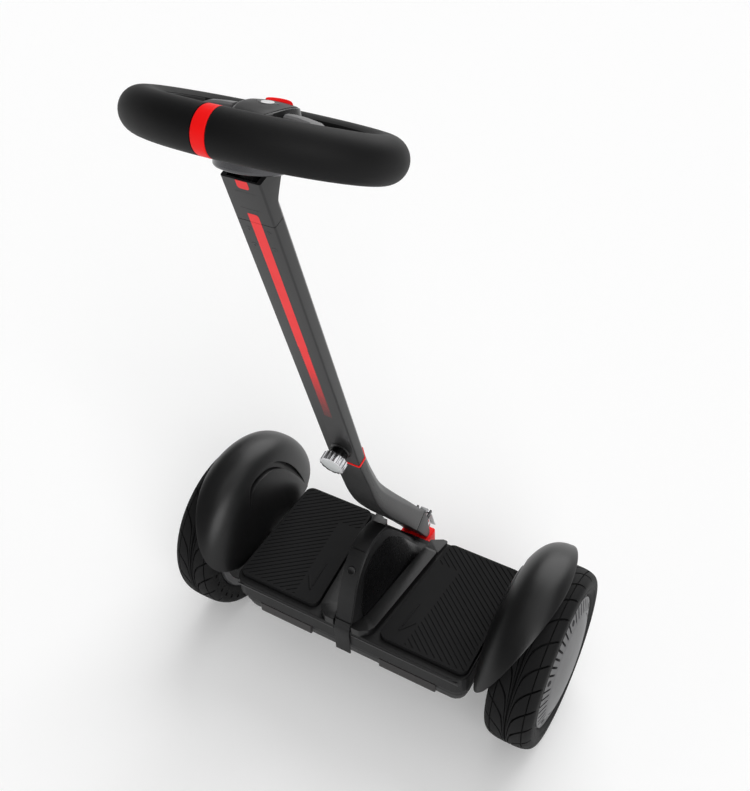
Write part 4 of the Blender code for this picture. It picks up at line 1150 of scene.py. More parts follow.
def mat_mark():
    """The open arrow moulded beside the grooves, as two low bars."""
    bars = []
    for loop in (
        slot_between((0.0803, -0.028), (0.0762, -0.075), 0.0011),
        slot_between((0.0915, -0.0600), (0.0750, -0.083), 0.0017),
    ):
        bars.append(bevelled(plate("bar", [loop], MAT_TOP_Z - 0.0005, MAT_TOP_Z + 0.0013), 0.0005, 2))
    return joined("mat_mark", *bars)


def build_mats():
    mat, mark = mat_mesh(), mat_mark()
    for side, sign in SIDES:
        for name, mesh, nodes in (("mat_pad", mat, [f"foot_mat_{side}"]), ("mat_arrow", mark, [])):
            copy = mirrored(mesh, name) if sign < 0 else mesh.copy()
            shown(f"{name}_{side}", copy, "mat_rubber", "mat_rubber", f"mat_{side}", *nodes)


# Round grip

def grip_section(count=33, grow=0.0):
    flat_angle = math.degrees(math.acos(GRIP_FLAT / GRIP_RADIUS))
    return arc((0.0, 0.0), GRIP_RADIUS + grow, -180 + flat_angle, 180 - flat_angle, count)


def round_rim(name, start, end, count, section, sharp=35):
    """The section carried round the rim's oval, square to it."""
    sections = []
    for i in range(count):
        angle = start + (end - start) * i / (count - 1)
        centre = Vector((RIM_HALF_X * math.cos(angle), RIM_HALF_V * math.sin(angle), 0.0))
        outward = Vector((RIM_HALF_V * math.cos(angle), RIM_HALF_X * math.sin(angle), 0.0)).normalized()
        sections.append([centre + outward * a + Vector((0, 0, b)) for a, b in section])
    return lofted(name, sections, sharp=sharp, place=RIM)


def build_grip():
    away = BAND_HALF_ANGLE + math.radians(0.25)
    grip = round_rim("round_grip", BAND_ANGLE + away, BAND_ANGLE + TURN - away, 161, grip_section())
    shown("round_grip", grip, "grip_skin", "grip_foam", "column", "rim_grip")
    band = round_rim(
        "grip_band", BAND_ANGLE - BAND_HALF_ANGLE, BAND_ANGLE + BAND_HALF_ANGLE, 9, grip_section()
    )
    shown("grip_band", bevelled(band, 0.0008, 2, angle=60), "signal_red", "accent_red", "column", "rim_band")
    # Pale plates on the grip's inner flat over its two sides are painted light: lighter than the grip, where
    # light falls on those inner faces.
    inside = [(-0.0130, -0.0150), (-0.0120, -0.0160), (-0.0120, 0.0166), (-0.0130, 0.0160)]
    start = math.radians(151.5)
    cheek = round_rim("lit_cheek_left", start, start + math.radians(62), 41, inside)
    shown("lit_cheek_right", mirrored(cheek, "lit_cheek_right"), "column_paint", "gloss_black", "column")
    shown("lit_cheek_left", cheek, "column_paint", "gloss_black", "column")


# Steering column

COLUMN_START = 0.0017
HEAD_START = 0.4215
HEAD_END = 0.473
HEAD_FLOOR = 0.4480
STRIPE = (-0.0053, 0.0065)
STRIPE_TOP = 0.4326
STRIPE_SOLID_TO = 0.235
STRIPE_FADES_TO = 0.103
DOT_ACROSS = 0.0017
DOT_ALONG = 0.00147
# Plates on the column's rear face are drawn with X across, Y up the column and Z outwards
REAR_FACE = COLUMN @ Matrix(((1, 0, 0), (0, 0, -1), (0, 1, 0))).to_4x4()


def column_loop(shrink=0.0):
    side, back, rear = 0.0215 - shrink, 0.0260 - shrink, shrink
    corners = [(-side, rear), (side, rear), (side, 0.0145), (0.0112, back), (-0.0112, back), (-side, 0.0145)]
    return rounded(corners, [0.0022, 0.0022, 0.003, 0.003, 0.003, 0.003], 6)


def fading_dots():
    """Rows of dots, set between each other, that shrink from the first row to the last."""
    pattern = Pattern(
        "fading_dots", Columns=7, Rows=90, Across=DOT_ACROSS, Along=DOT_ALONG, Largest=1.0, Smallest=0.2
    )
    columns, rows = pattern.given("Columns"), pattern.given("Rows")
    spots = pattern.node("GeometryNodePoints", sockets={"Count": columns * rows})
    index = pattern.node("GeometryNodeInputIndex")
    row = pattern.maths("FLOOR", index / columns)
    column = index - row * columns
    shift = (row % 2) * 0.5
    place = pattern.node("ShaderNodeCombineXYZ", sockets={
        "X": (column + shift) * pattern.given("Across"), "Y": 0.0 - row * pattern.given("Along"),
    })
    set_out = pattern.node("GeometryNodeSetPosition", sockets={"Geometry": spots, "Position": place})
    size = pattern.given("Largest") + (pattern.given("Smallest") - pattern.given("Largest")) * (row / rows)
    copies = pattern.node("GeometryNodeInstanceOnPoints", sockets={
        "Points": set_out, "Instance": pattern.given("Geometry"), "Scale": size,
    })
    return pattern.close(copies)


def build_stripe():
    left, right = STRIPE
    width = right - left
    low = plate("stripe", [oblong(left, STRIPE_SOLID_TO, right, HEAD_START)], -0.0002, 0.00012, REAR_FACE)
    shown("column_stripe", low, "printed_red", "accent_red", "column")
    top = [(left, HEAD_START + 0.0004), (right, HEAD_START + 0.0004)]
    top += arc((right - 0.0030, STRIPE_TOP - 0.0030), 0.0030, 0, 90, 6) + [(left, STRIPE_TOP)]
    shown(
        "column_stripe_end", plate("stripe_end", [top], -0.0002, 0.00012, REAR_FACE), "printed_red",
        "accent_red", "column"
    )
    dot = plate("dot", [arc((0, 0), 0.00125, 0, 315, 8)], -0.0001, 0.00010)
    rows = round((STRIPE_SOLID_TO - STRIPE_FADES_TO) / DOT_ALONG)
    dots = fading_dots().grow(
        "stripe_dots", dot, "printed_red", Columns=6, Rows=rows, Largest=0.92, Smallest=0.20
    )
    dots.transform(
        REAR_FACE @ Matrix.Translation((left + (width - 5.5 * DOT_ACROSS) / 2, STRIPE_SOLID_TO, 0.0))
    )
    shown("stripe_dots", dots, "printed_red", "accent_red", "column")


def head_flare(height):
    return read(
        smooth_table([(0.4218, 0.0), (0.4390, 0.0), (0.4560, 0.012), (0.4650, 0.020), (HEAD_END, 0.024)]),
        height
    )


def build_column():
    bore = oblong(-0.0136, 0.0059, 0.0136, 0.0186)
    tube = plate("column_skin", [column_loop(), bore], COLUMN_START, HEAD_START, COLUMN)
    shown("column_skin", tube, "column_paint", "column_grey", "column", "column_tube")
    sections = []
    heights = [HEAD_START + 0.0003, HEAD_START + 0.0007, 0.430]
    heights += [0.4370 + (HEAD_END - 0.4370) * k / 14 for k in range(15)]
    for k, height in enumerate(heights):
        flare = max(0.0, head_flare(height))
        loop = column_loop(0.0003 if k == 0 else 0.0)
        sections.append([(x, y + (flare if y > 0.010 else 0.0), height) for x, y in loop])
    head = lofted("column_head_skin", sections, sharp=30, place=COLUMN)
    head = cut(head, boss_way(), plate("way", [neck_way()], HEAD_FLOOR, 0.50, COLUMN))
    shown("column_head_skin", head, "column_paint", "column_grey", "column", "column_head")
    # The black lining and floor in the head's cut cavity are painted shade: they stand for the deep shadow
    # inside that hollow.
    lining = plate(
        "lining", [neck_way(-0.00005), neck_way(-0.0005)], HEAD_FLOOR + 0.0002, HEAD_END - 0.0006, COLUMN
    )
    floor = plate("floor", [neck_way(-0.00005)], HEAD_FLOOR + 0.00005, HEAD_FLOOR + 0.0002, COLUMN)
    shown(
        "head_shade_lining", joined("head_shade_lining", cut(lining, boss_way()), floor), "gloss_black", "gloss_black",
        "column"
    )
    tab = rounded(oblong(-0.0053, 0.4632, 0.0075, 0.4726), [0.003, 0.003, 0.0004, 0.0004])
    shown(
        "head_tab", plate("head_tab", [tab], -0.0002, 0.00015, REAR_FACE), "printed_red", "accent_red",
        "column"
    )
    lines = []
    for height, x0, x1 in ((0.4590, -0.0100, 0.0124), (0.4385, -0.0107, 0.0119)):
        loop = oblong(x0, height - 0.0002, x1, height + 0.0002)
        lines.append(plate("line", [loop], -0.0001, 0.00008, REAR_FACE))
    shown("head_lines", joined("head_lines", *lines), "gloss_black", "column_grey", "column")
    covers = []
    for x, height in ((-0.0110, 0.4100), (0.0110, 0.4100), (-0.0113, 0.3886), (0.0113, 0.3886)):
        spot = [(x + px, height + py) for px, py in arc((0, 0), 0.0011, 0, 330, 12)]
        covers.append(plate("spot", [spot], -0.0001, 0.0001, REAR_FACE))
        bow = arc((x, height), 0.0042, 25, 155, 12) + arc((x, height - 0.0005), 0.0040, 150, 30, 12)
        covers.append(plate("bow", [bow], -0.0001, 0.0001, REAR_FACE))
    shown("screw_covers", joined("screw_covers", *covers), "gloss_black", "column_grey", "column")
    build_stripe()


# Control pod and boss

POD_BASE = 0.0053
POD_FLARE = 0.0075
# Along the rim's depth: place, half-width of the top, height of the crown
POD_LINE = smooth_path([
    (-0.0330, 0.0110, 0.0142), (-0.0270, 0.0160, 0.0178), (-0.0200, 0.0195, 0.0207),
    (-0.0090, 0.0224, 0.0243),
    (0.0030, 0.0230, 0.0268), (0.0140, 0.0226, 0.0275), (0.0230, 0.0190, 0.0275), (0.0280, 0.0130, 0.0262),
], 4)
POD_SLOPE = 0.20
BUTTON_HALF = (0.0062, 0.0058)
BUTTON_TOP = 0.0270
BOSS = Matrix.Translation((0.0, -0.1868, 0.9232)) @ Euler((math.radians(-19.5), 0.0, 0.0)).to_matrix().to_4x4(
)
BOSS_RADIUS = 0.0330


def oval(half_x, half_y, count=32):
    return [(half_x * math.cos(TURN * k / count), half_y * math.sin(TURN * k / count)) for k in range(count)]


def sloped(mesh, slope):
    """The mesh leaned so that its height grows along Y."""
    mesh.transform(Matrix(((1, 0, 0, 0), (0, 1, 0, 0), (0, slope, 1, 0), (0, 0, 0, 1))))
    return mesh


def pod_top(station, share, lift=0.0):
    place, half, crown = station
    return (half * share, place, crown - 0.0015 * abs(share) ** 3 + lift)


def pod_shell():
    sections = []
    for station in POD_LINE:
        place, half, crown = station
        rise = crown - 0.0015 - POD_BASE
        side = [(half + POD_FLARE * out, place, POD_BASE + rise * up) for out, up in (
            (1.0, 0.0), (0.88, 0.20), (0.62, 0.45), (0.36, 0.70), (0.16, 0.90),
        )]
        top = [pod_top(station, 1 - k / 8) for k in range(17)]
        sections.append(side + top + [(-x, y, z) for x, y, z in reversed(side)])
    well = plate("well", [oval(BUTTON_HALF[0] + 0.0006, BUTTON_HALF[1] + 0.0006)], 0.0205, 0.0320)
    return cut(lofted("pod_shell", sections, sharp=28), well)


def pod_panel():
    """The satin skin on the pod's sloping top."""
    sections = []
    for station in POD_LINE[2:23]:
        above = [pod_top(station, 0.90 - 0.15 * k, 0.0004) for k in range(13)]
        below = [pod_top(station, -0.90 + 0.15 * k, -0.0004) for k in range(13)]
        sections.append(above + below)
    well = plate("well", [oval(BUTTON_HALF[0] + 0.0020, BUTTON_HALF[1] + 0.0020)], 0.0205, 0.0320)
    return cut(lofted("pod_panel", sections, sharp=28), well)


def crest_mesh():
    """The red brow: an arc that tapers to both ends."""
    sections = []
    for i in range(27):
        turn = math.radians(38 + 104 * i / 26)
        share = i / 13 - 1
        top = 0.0284 + 0.0026 * math.sqrt(1 - 0.94 * share * share)
        inner = 0.0185 - 0.0048 * (1 - 0.5 * share * share)
        line = [
            (0.0185, 0.0266), (0.0185, top - 0.0008), (0.0177, top), (inner + 0.0020, top - 0.0003),
            (inner + 0.0003, top - 0.0024), (inner, 0.0266),
        ]
        sections.append([(r * math.cos(turn), 0.0065 + r * math.sin(turn), h) for r, h in line])
    return lofted("pod_crest", sections, sharp=24, place=RIM)


def boss_mesh():
    side = arc((BOSS_RADIUS - 0.0030, 0.0032), 0.0030, -90, 0, 7)
    disc = spun("disc", [(0.0001, 0.0)] + side + [(BOSS_RADIUS, 0.0205), (0.0001, 0.0205)], 96, BOSS)
    neck = drum("neck", 0.0095, 0.4484, 0.4760, 40)
    neck.transform(COLUMN @ Matrix.Translation((0.0, 0.0140, 0.0)))
    return joined("boss", disc, neck)


def boss_way():
    return drum("boss_way", BOSS_RADIUS + 0.0010, -0.0003, 0.06, 64, BOSS)


def neck_way(grow=0.0):
    return oblong(-0.0165 - grow, 0.0022 - grow, 0.0165 + grow, 0.0250 + grow)


def arm_cover():
    """The grey cover along one arm of the rim's frame."""
    sections = []
    for x, middle, half, top in (
        (0.0270, -0.0020, 0.0125, 0.0214), (0.0400, -0.0020, 0.0125, 0.0210),
        (0.0520, -0.0022, 0.0128, 0.0196),
        (0.0620, -0.0040, 0.0130, 0.0150), (0.0800, -0.0080, 0.0145, 0.0110),
        (0.0930, -0.0100, 0.0160, 0.0090),
    ):
        across = [(-1.0, 0.0052), (-0.96, top - 0.0030), (-0.80, top - 0.0008), (-0.4, top), (0.4, top)]
        across += [(-share, height) for share, height in reversed(across[:3])]
        sections.append([(x, middle + half * share, height) for share, height in across])
    return lofted("arm_cover", sections, sharp=30, place=RIM)


def build_pod():
    shown("pod_shell", moved(pod_shell(), RIM), "gloss_black", "gloss_black", "column", "dash_housing")
    shown("pod_panel", moved(pod_panel(), RIM), "panel_grey", "gloss_black", "column")
    hole = oval(BUTTON_HALF[0] + 0.0005, BUTTON_HALF[1] + 0.0005)
    corners = [(-0.0125, 0.0), (0.0, -0.0092), (0.0125, 0.0), (0.0, 0.0092)]
    diamond = rounded(corners, [0.0008, 0.0050, 0.0008, 0.0050])
    surround = sloped(plate("surround", [diamond, hole], 0.0235, 0.0268), POD_SLOPE)
    shown("button_surround", moved(surround, RIM), "gloss_black", "gloss_black", "column")
    cap = sloped(bevelled(plate("cap", [oval(*BUTTON_HALF, 48)], 0.0222, BUTTON_TOP), 0.0007, 3), POD_SLOPE)
    shown("button_cap", moved(cap, RIM), "button_white", "button_white", "mode_key", "mode_button")
    shown("pod_crest", crest_mesh(), "signal_red", "accent_red", "column", "dash_crest")
    shown("boss", boss_mesh(), "boss_metal", "frame_metal", "column", "rim_boss")
    cover = arm_cover()
    shown_pair("arm_cover", cover, "arm_grey", "gloss_black", "column")


# Hump, straps and rails

STRAP_HALF_WIDTH = 0.0125
STRAP_THICKNESS = 0.0024
RAIL_TOP_Z = 0.171
# The ridge of the hump from its rear foot to its top, as (y, z)
RIDGE_REAR = [
    (-0.1190, 0.1080), (-0.1191, 0.1300), (-0.1190, 0.1540), (-0.1165, 0.1630), (-0.1123, 0.1735),
    (-0.1062, 0.1880), (-0.1008, 0.2040), (-0.0960, 0.2200), (-0.0903, 0.2345), (-0.0820, 0.2500),
    (-0.0718, 0.2628), (-0.0620, 0.2715), (-0.0510, 0.2772), (-0.0400, 0.2795), (-0.0250, 0.2785),
    (-0.0096, 0.2752), (0.0000, 0.2712),
]
RIDGE_FRONT = [(0.0030, 0.2662), (0.0150, 0.2520), (0.0344, 0.2270), (0.0640, 0.1850), (0.0830, 0.1580)]
RIDGE = smooth_path(RIDGE_REAR, 8)
HUMP_TOP = smooth_table([(y, z - 0.0030) for y, z in RIDGE_REAR[3:]] + RIDGE_FRONT)
STRAP_SEAM_Z = 0.1735
STRAP_SEAM_Y = -0.0590
SEAM_GAP = 0.0006


def hump_side(y, t, lift=0.0):
    """A point on the hollowed side, from the rail (0) to the ridge (1)."""
    base = 0.0325 + 0.0975 * y
    top = STRAP_HALF_WIDTH + 0.001
    x = base + (top - base) * t - 0.22 * (base - top) * math.sin(math.pi * t)
    z = DECK_TOP_Z + 0.0003 + (read(HUMP_TOP, y) - 0.004 - DECK_TOP_Z) * t
    return (x + lift, y, z)


def hump_shell():
    sections = []
    for i in range(47):
        y = -0.1125 + 0.1925 * i / 46
        side = [hump_side(y, k / 12) for k in range(13)]
        top = read(HUMP_TOP, y)
        side += [
            (STRAP_HALF_WIDTH - 0.0015, y, top - 0.0012), (STRAP_HALF_WIDTH * 0.6, y, top), (0.0001, y, top)
        ]
        sections.append(side + [(-x, y, z) for x, y, z in reversed(side)])
    return lofted("hump_shell", sections, sharp=32)


def hump_panel():
    """The glossy inset in the hollow of one side."""
    sections = []
    for i in range(33):
        y = -0.0900 + 0.1560 * i / 32
        end = max(0.0, 1 - ((i - 16) / 16.5) ** 8)
        high = 0.30 + 0.55 * end
        levels = [0.06 + (high - 0.06) * k / 10 for k in range(11)]
        outer = [hump_side(y, t, 0.0022) for t in levels]
        sections.append(outer + [hump_side(y, t, -0.0040) for t in reversed(levels)])
    return lofted("hump_panel", sections, sharp=32)


def strap(name, points):
    """A length of the cover strap: a flat band with softened edges."""
    half, thick = STRAP_HALF_WIDTH, STRAP_THICKNESS
    ring = rounded(oblong(-half, -thick, half, 0.0), 0.0008, 4)
    sections = []
    for i, point in enumerate(points):
        run = (points[min(i + 1, len(points) - 1)] - points[max(i - 1, 0)]).normalized()
        out = Vector((-run.y, run.x))
        sections.append([(x, point.x + out.x * h, point.y + out.y * h) for x, h in ring])
    return lofted(name, sections, sharp=30)


def build_straps():
    groups = {"strap_lower": [], "strap_middle": [], "strap_upper": []}
    for point in RIDGE:
        if point.y <= STRAP_SEAM_Z - SEAM_GAP / 2:
            groups["strap_lower"].append(point)
        elif point.y > STRAP_SEAM_Z + SEAM_GAP / 2 and point.x <= STRAP_SEAM_Y - SEAM_GAP / 2:
            groups["strap_middle"].append(point)
        elif point.x > STRAP_SEAM_Y + SEAM_GAP / 2:
            groups["strap_upper"].append(point)
    before, after = [pair for pair in zip(RIDGE, RIDGE[1:]) if pair[1].x > -0.0800][0]
    facing = Euler((math.atan2(after.y - before.y, after.x - before.x), 0.0, 0.0)).to_matrix().to_4x4()
    button_at = Matrix.Translation((0.0, before.x, before.y)) @ facing
    hole = drum("hole", 0.0066, -0.008, 0.010, 40, button_at)
    for name, points in groups.items():
        mesh = strap(name, points)
        if name == "strap_middle":
            mesh = cut(mesh, hole)
        shown(name, mesh, "moulded_black", "body_black", "chassis", name.replace("strap", "spine_cover"))
    key = spun(
        "power_key",
        [
            (0.0001, -0.0044), (0.0062, -0.0044), (0.0062, 0.0006), (0.0056, 0.0012), (0.0050, 0.0009),
            (0.0001, 0.0006)
        ],
        48, button_at
    )
    shown("power_key_cap", key, "gloss_black", "body_black", "power_key", "power_button")


def rail_mesh():
    corners = [
        (0.0241, -0.0870), (0.0152, -0.0975), (0.0146, -0.1120), (0.0146, -0.1163), (0.0285, -0.1163),
        (0.0400, -0.1085),
        (0.0449, -0.1000), (0.0612, 0.0660), (0.0395, 0.0660),
    ]
    loop = rounded(corners, [0.006, 0.0030, 0.0010, 0.0010, 0.006, 0.006, 0.006, 0.004, 0.004], 5)
    return bevelled(plate("rail", [loop], DECK_TOP_Z + 0.0003, RAIL_TOP_Z), 0.0034, 5, angle=50)


def build_hump():
    nodes = ["hump_housing", "hump_panel_left", "hump_panel_right"]
    shown("hump_shell", hump_shell(), "moulded_black", "body_black", "chassis", *nodes)
    panel = hump_panel()
    shown_pair("hump_inset", panel, "gloss_black", "gloss_black", "chassis")
    build_straps()
    # A pale rod along the deck's upper rear edge is a painted highlight: it stands for the light caught by
    # that edge.
    highlight_bead_loop = rounded(
        [(-0.1150, 0.1498), (-0.1171, 0.1502), (-0.1171, 0.1528), (-0.1150, 0.1540)], 0.0007, 4
    )
    bead = bevelled(plate("rear_highlight_bead", [highlight_bead_loop], 0.0150, 0.1860, SIDE_VIEW), 0.0005, 2, angle=60)
    shown_pair("rear_highlight_bead", bead, "column_paint", "body_black", "chassis")
    shown_pair("rail", rail_mesh(), "satin_black", "body_black", "chassis", "side_rail")
    corners = [(0.0390, 0.0700), (0.0600, 0.0700), (0.0640, 0.0975), (0.0560, 0.0975), (0.0390, 0.0880)]
    bridge = bevelled(
        plate("bridge", [rounded(corners, 0.002)], DECK_TOP_Z - 0.0005, 0.1640), 0.0015, 3, angle=50
    )
    shown_pair("bridge", bridge, "column_paint", "body_black", "chassis")


# Lower stem, knob and latch

STEM_HALF_WIDTH = 0.0215
NECK_REAR = [
    (-0.0756, 0.4628), (-0.0670, 0.4380), (-0.0577, 0.4130), (-0.0436, 0.3710), (-0.0258, 0.3328),
    (0.0027, 0.2880), (0.0332, 0.2460), (0.0531, 0.2190), (0.0740, 0.1895),
]
NECK_FRONT = [
    (0.1010, 0.2090), (0.0640, 0.2620), (0.0215, 0.3215), (-0.0130, 0.3730), (-0.0300, 0.4100),
    (-0.0420, 0.4420), (-0.0506, 0.4698),
]
# Outlines in the side view are drawn with Y across and Z up, and stand across X
SIDE_VIEW = Matrix(((0, 0, 1), (1, 0, 0), (0, 1, 0))).to_4x4()
KNOB_AT = COLUMN @ Matrix.Translation((0.0, 0.0, 0.0265)) @ Matrix.Rotation(math.radians(90), 4, "X")
KNOB_RADIUS = 0.0165


def spread(path, count):
    """Points at even distances along a path."""
    runs = [0.0]
    for first, second in zip(path, path[1:]):
        runs.append(runs[-1] + (second - first).length)
    across = [(run, point.x) for run, point in zip(runs, path)]
    up = [(run, point.y) for run, point in zip(runs, path)]
    stops = [runs[-1] * i / (count - 1) for i in range(count)]
    return [Vector((read(across, stop), read(up, stop))) for stop in stops]


def neck_mesh():
    """The neck from the collar down, its front corners cut back less and less."""
    stations = 56
    rear = spread(smooth_path(NECK_REAR, 6), stations)
    front = spread(smooth_path(NECK_FRONT, 6)[::-1], stations)
    half = STEM_HALF_WIDTH
    sections = []
    for i, (back, fore) in enumerate(zip(rear, front)):
        growth = math.sqrt(1 - i / (stations - 1))
        wide = 0.0020 + 0.0075 * growth
        step = fore.lerp(back, (0.0020 + 0.0095 * growth) / (fore - back).length)
        ring = [
            (-half, back), (half, back), (half, step), (half - wide, fore), (wide - half, fore),
            (-half, step)
        ]
        sections.append([(x, point.x, point.y) for x, point in ring])
    return bevelled(lofted("neck_skin", sections), 0.0024, 3, angle=30)


def build_neck():
    shown("neck_skin", neck_mesh(), "column_paint", "column_grey", "stem", "neck")
    block_loop = [
        (0.0743, 0.1890), (0.0905, 0.1655), (0.1090, 0.1368), (0.1190, 0.1368), (0.1190, 0.1476),
        (0.1100, 0.1870), (0.1013, 0.2085),
    ]
    block = plate("end_block", [block_loop], -STEM_HALF_WIDTH, STEM_HALF_WIDTH, SIDE_VIEW)
    shown(
        "end_block", bevelled(block, 0.0022, 4, angle=20), "column_paint", "column_grey", "stem",
        "neck_end_block"
    )
    foot = bevelled(
        plate("foot", [oblong(0.1000, 0.1080, 0.1340, 0.1365)], -0.0245, 0.0245, SIDE_VIEW), 0.0040, 5
    )
    lip = plate("lip", [oblong(0.1300, 0.1257, 0.1400, 0.1310)], -0.006, 0.006, SIDE_VIEW)
    shown(
        "foot_skin", joined("foot_skin", foot, bevelled(lip, 0.0006, 2)), "signal_red", "accent_red",
        "stem", "stem_foot"
    )
    grooves = []
    for start, end in (((-0.0610, 0.4500), (-0.0400, 0.3900)), ((-0.0380, 0.3840), (-0.0130, 0.3300))):
        line = slot_between(start, end, 0.0003)
        for sign in (-1, 1):
            at = sign * (STEM_HALF_WIDTH - 0.0001)
            low, high = sorted((at, at + sign * 0.0002))
            grooves.append(plate("groove", [line], low, high, SIDE_VIEW))
    shown("neck_lines", joined("neck_lines", *grooves), "gloss_black", "column_grey", "stem")


def build_knob():
    lobes = []
    for k in range(144):
        angle = TURN * k / 144
        radius = KNOB_RADIUS - 0.0012 * abs(math.sin(6 * angle)) ** 6
        lobes.append((radius * math.cos(angle), radius * math.sin(angle)))
    body = bevelled(plate("knob", [lobes], 0.0125, 0.0242, KNOB_AT, sharp=50), 0.0012, 3, angle=60)
    shown("knob_body", body, "bright_chrome", "chrome", "knob", "height_knob")
    face = spun(
        "face", [(0.0001, 0.0236), (0.0128, 0.0236), (0.0128, 0.0242), (0.0118, 0.0245), (0.0001, 0.0245)],
        64, KNOB_AT
    )
    shown("knob_face", face, "pale_satin", "chrome", "knob")
    ribs = [(0.0118, 0.0095)]
    for k in range(5):
        height = 0.0088 - 0.0013 * k
        ribs += [
            (0.0118, height), (0.0108, height - 0.0003), (0.0108, height - 0.0007),
            (0.0118, height - 0.0010)
        ]
    ribs += [(0.0126, 0.0022), (0.0140, 0.0006), (0.0140, 0.0003), (0.0042, 0.0003), (0.0042, 0.0095)]
    shown(
        "knob_bellows", spun("bellows", ribs, 72, KNOB_AT), "gloss_black", "gloss_black", "column",
        "knob_collar"
    )


LATCH_PIVOT = Vector((0.1382, 0.1614))
LATCH_ALONG = Vector((0.2227, -0.9750))
LATCH_OUT = Vector((0.9750, 0.2227))
LATCH_STAND = 0.0215


def latch_point(along, out):
    spot = LATCH_PIVOT + LATCH_ALONG * along + LATCH_OUT * out
    return spot.x, spot.y


def build_latch():
    """The lever plate with its rolled end, and the pierced bracket that carries it."""
    sections = []
    for along, half, low, high in (
        (-0.0044, 0.0050, 0.0004, 0.0030), (-0.0030, 0.0062, -0.0030, 0.0046), (0.0, 0.0063, -0.0040, 0.0056),
        (0.0050, 0.0063, -0.0036, 0.0061), (0.0080, 0.0080, 0.0036, 0.0063), (0.0110, 0.0100, 0.0040, 0.0065),
        (0.0280, 0.0104, 0.0048, 0.0078), (0.0400, 0.0104, 0.0055, 0.0087), (0.0470, 0.0104, 0.0062, 0.0094),
        (0.0530, 0.0100, 0.0084, 0.0114), (0.0570, 0.0092, 0.0108, 0.0132), (0.0586, 0.0080, 0.0118, 0.0134),
    ):
        ring = rounded(oblong(-half, low, half, high), 0.0006, 4)
        sections.append([(x, *latch_point(along, out)) for x, out in ring])
    pierce = []
    for along in (0.020, 0.036):
        loop = [(x + along, y) for x, y in slot_loop(0.0100, 0.0014)]
        for sign in (-1, 1):
            outline = [(x, y + sign * 0.0062) for x, y in loop]
            tool = lofted("pierce", [[(y, *latch_point(x, out)) for x, y in outline] for out in (0.0, 0.014)])
            pierce.append(tool)
    lever = cut(lofted("latch_plate", sections, sharp=30), *pierce)
    shown("latch_plate", lever, "machined_steel", "chrome", "lever", "latch_lever")
    outline = rounded(
        [(-0.0060, -LATCH_STAND), (0.0060, -LATCH_STAND), (0.0052, 0.0045), (-0.0052, 0.0045)],
        [0.0005, 0.0005, 0.003, 0.003]
    )
    holes = [
        arc((0.0, 0.0), 0.00225, 0, 345, 24), arc((0.0, -0.0080), 0.0018, 0, 340, 18),
        arc((0.0, -0.0140), 0.0013, 0, 340, 18)
    ]
    ears = []
    for low, high in ((-0.0125, -0.0107), (0.0107, 0.0125)):
        ears.append(
            bevelled(
                plate(
                    "ear", [[latch_point(x, y) for x, y in loop] for loop in (outline, *holes)], low, high,
                    SIDE_VIEW
                ),
                0.0003, 2, angle=60
            )
        )
    base = [latch_point(x, y) for x, y in oblong(-0.0060, -LATCH_STAND, 0.0060, 0.0018 - LATCH_STAND)]
    ears.append(plate("base", [base], -0.0108, 0.0108, SIDE_VIEW))
    shown("latch_ears", joined("latch_ears", *ears), "dark_screw", "chrome", "stem", "latch_bracket")


# Inner side of the wheels

def build_wheel_backs():
    ring = [
        (0.0880, -0.0338), (0.0900, -0.0350), (0.0975, -0.0350), (0.0993, -0.0320), (0.0993, 0.0290),
        (0.0930, 0.0290), (0.0930, -0.0305), (0.0880, -0.0305)
    ]
    disc = [
        (0.0101, -0.0345), (0.0300, -0.0345), (0.0340, -0.0320), (0.0879, -0.0320), (0.0879, -0.0308),
        (0.0101, -0.0308)
    ]
    for side, sign in SIDES:
        for name, profile, finish, slot, nodes in (
            ("rim_flange", ring, "hub_metal", "hub_silver", [f"rim_shell_{side}"]),
            ("motor_cover", disc, "moulded_black", "gloss_black", []),
        ):
            mesh = spun(name, profile, 96, FACE_OUTWARD)
            if sign < 0:
                mesh = mirrored(mesh, name)
            mesh.transform(Matrix.Translation((sign * WHEEL_X, 0.0, AXLE_Z)))
            shown(f"{name}_{side}", mesh, finish, slot, f"wheel_{side}", *nodes)


# Camera, floor and light


def build_camera():
    data = bpy.data.cameras.new("view")
    data.sensor_fit = "VERTICAL"
    data.sensor_height = 36.0
    data.lens = 43.466
    data.clip_start = 0.05
    right = Vector((0.86768, 0.49595, -0.03404))
    up = Vector((-0.30461, 0.58453, 0.75202))
    back = Vector((0.39287, -0.64215, 0.65826))
    turn = Matrix((right, up, back)).transposed()
    camera = bpy.data.objects.new("view", data)
    camera.matrix_world = Matrix.Translation((0.48058, -0.72867, 1.31802)) @ turn.to_4x4()
    bpy.context.scene.collection.objects.link(camera)
    bpy.context.scene.camera = camera


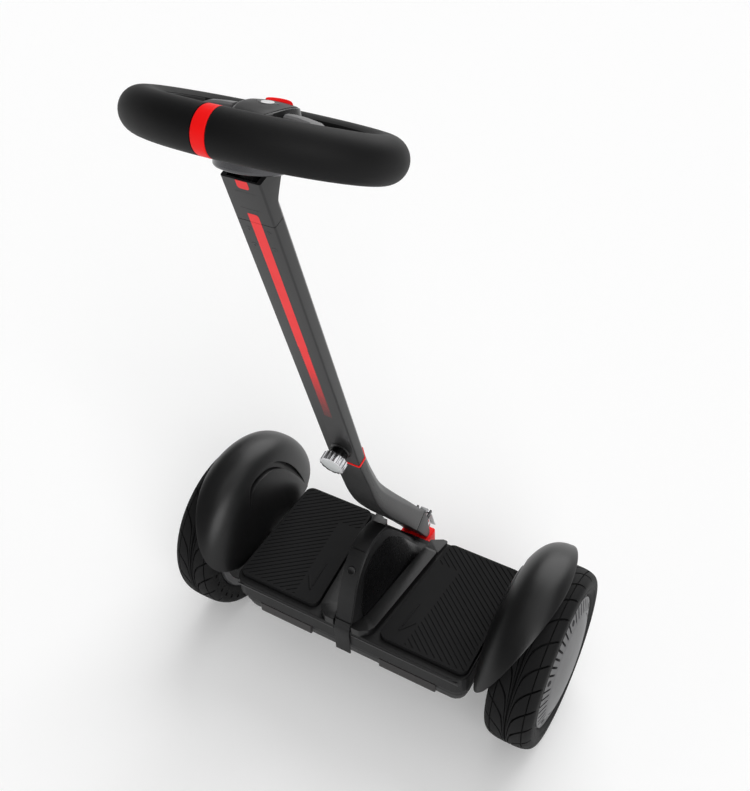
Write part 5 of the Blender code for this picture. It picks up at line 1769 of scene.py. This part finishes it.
def seen_directly(tree):
    """1 for camera, glossy and transmission rays, 0 for the rays that light things."""
    path = tree.node("ShaderNodeLightPath", output="Is Camera Ray")
    return tree.clamped(path + path.other("Is Glossy Ray") + path.other("Is Transmission Ray"))


def build_stage():
    bm = bmesh.new()
    bmesh.ops.create_circle(bm, cap_ends=True, segments=96, radius=9.0)
    floor = bpy.data.objects.new("studio_floor", mesh_of(bm, "studio_floor"))
    bpy.context.scene.collection.objects.link(floor)
    paint = Finish("studio_paint", (0.93, 0.93, 0.93), 0.9, Specular_IOR_Level=0.0)
    paint.put("Emission Color", seen_directly(paint) * 0.10)
    paint.put("Emission Strength", 1.0)
    floor.data.materials.append(paint.material)

    world = bpy.data.worlds.new("studio")
    world.use_nodes = True
    bpy.context.scene.world = world
    tree = NodeTree(world.node_tree)
    backdrop = world.node_tree.nodes["Background"]
    split = tree.node(
        "ShaderNodeSeparateXYZ", sockets={"Vector": tree.node("ShaderNodeTexCoord", output="Generated")}
    )
    horizon = tree.clamped(1.0 - abs(split.other("Z")) * 3.2)
    tree.feed(backdrop.inputs["Color"], (1.0, 1.0, 1.0, 1.0))
    tree.feed(backdrop.inputs["Strength"], horizon * 0.60 + 0.17)


def build_lights():
    for name, come_from, spread, strength in (
        ("back_light", (-0.03, 0.82, 0.57), 54, 1.70),
        ("side_light", (0.66, -0.58, 0.48), 40, 1.35),
        ("top_light", (0.30, 0.00, 0.95), 64, 0.80),
    ):
        data = bpy.data.lights.new(name, "SUN")
        data.angle = math.radians(spread)
        data.energy = strength
        lamp = bpy.data.objects.new(name, data)
        lamp.rotation_euler = Vector(come_from).to_track_quat("Z", "Y").to_euler()
        bpy.context.scene.collection.objects.link(lamp)


def main():
    build_camera()
    build_stage()
    build_lights()
    dress_nodes()
    build_tyres()
    build_fenders()
    build_wheel_faces()
    build_mats()
    build_wheel_backs()
    build_grip()
    build_column()
    build_pod()
    build_hump()
    build_neck()
    build_knob()
    build_latch()
    bpy.context.scene.view_settings.view_transform = "Standard"


main()
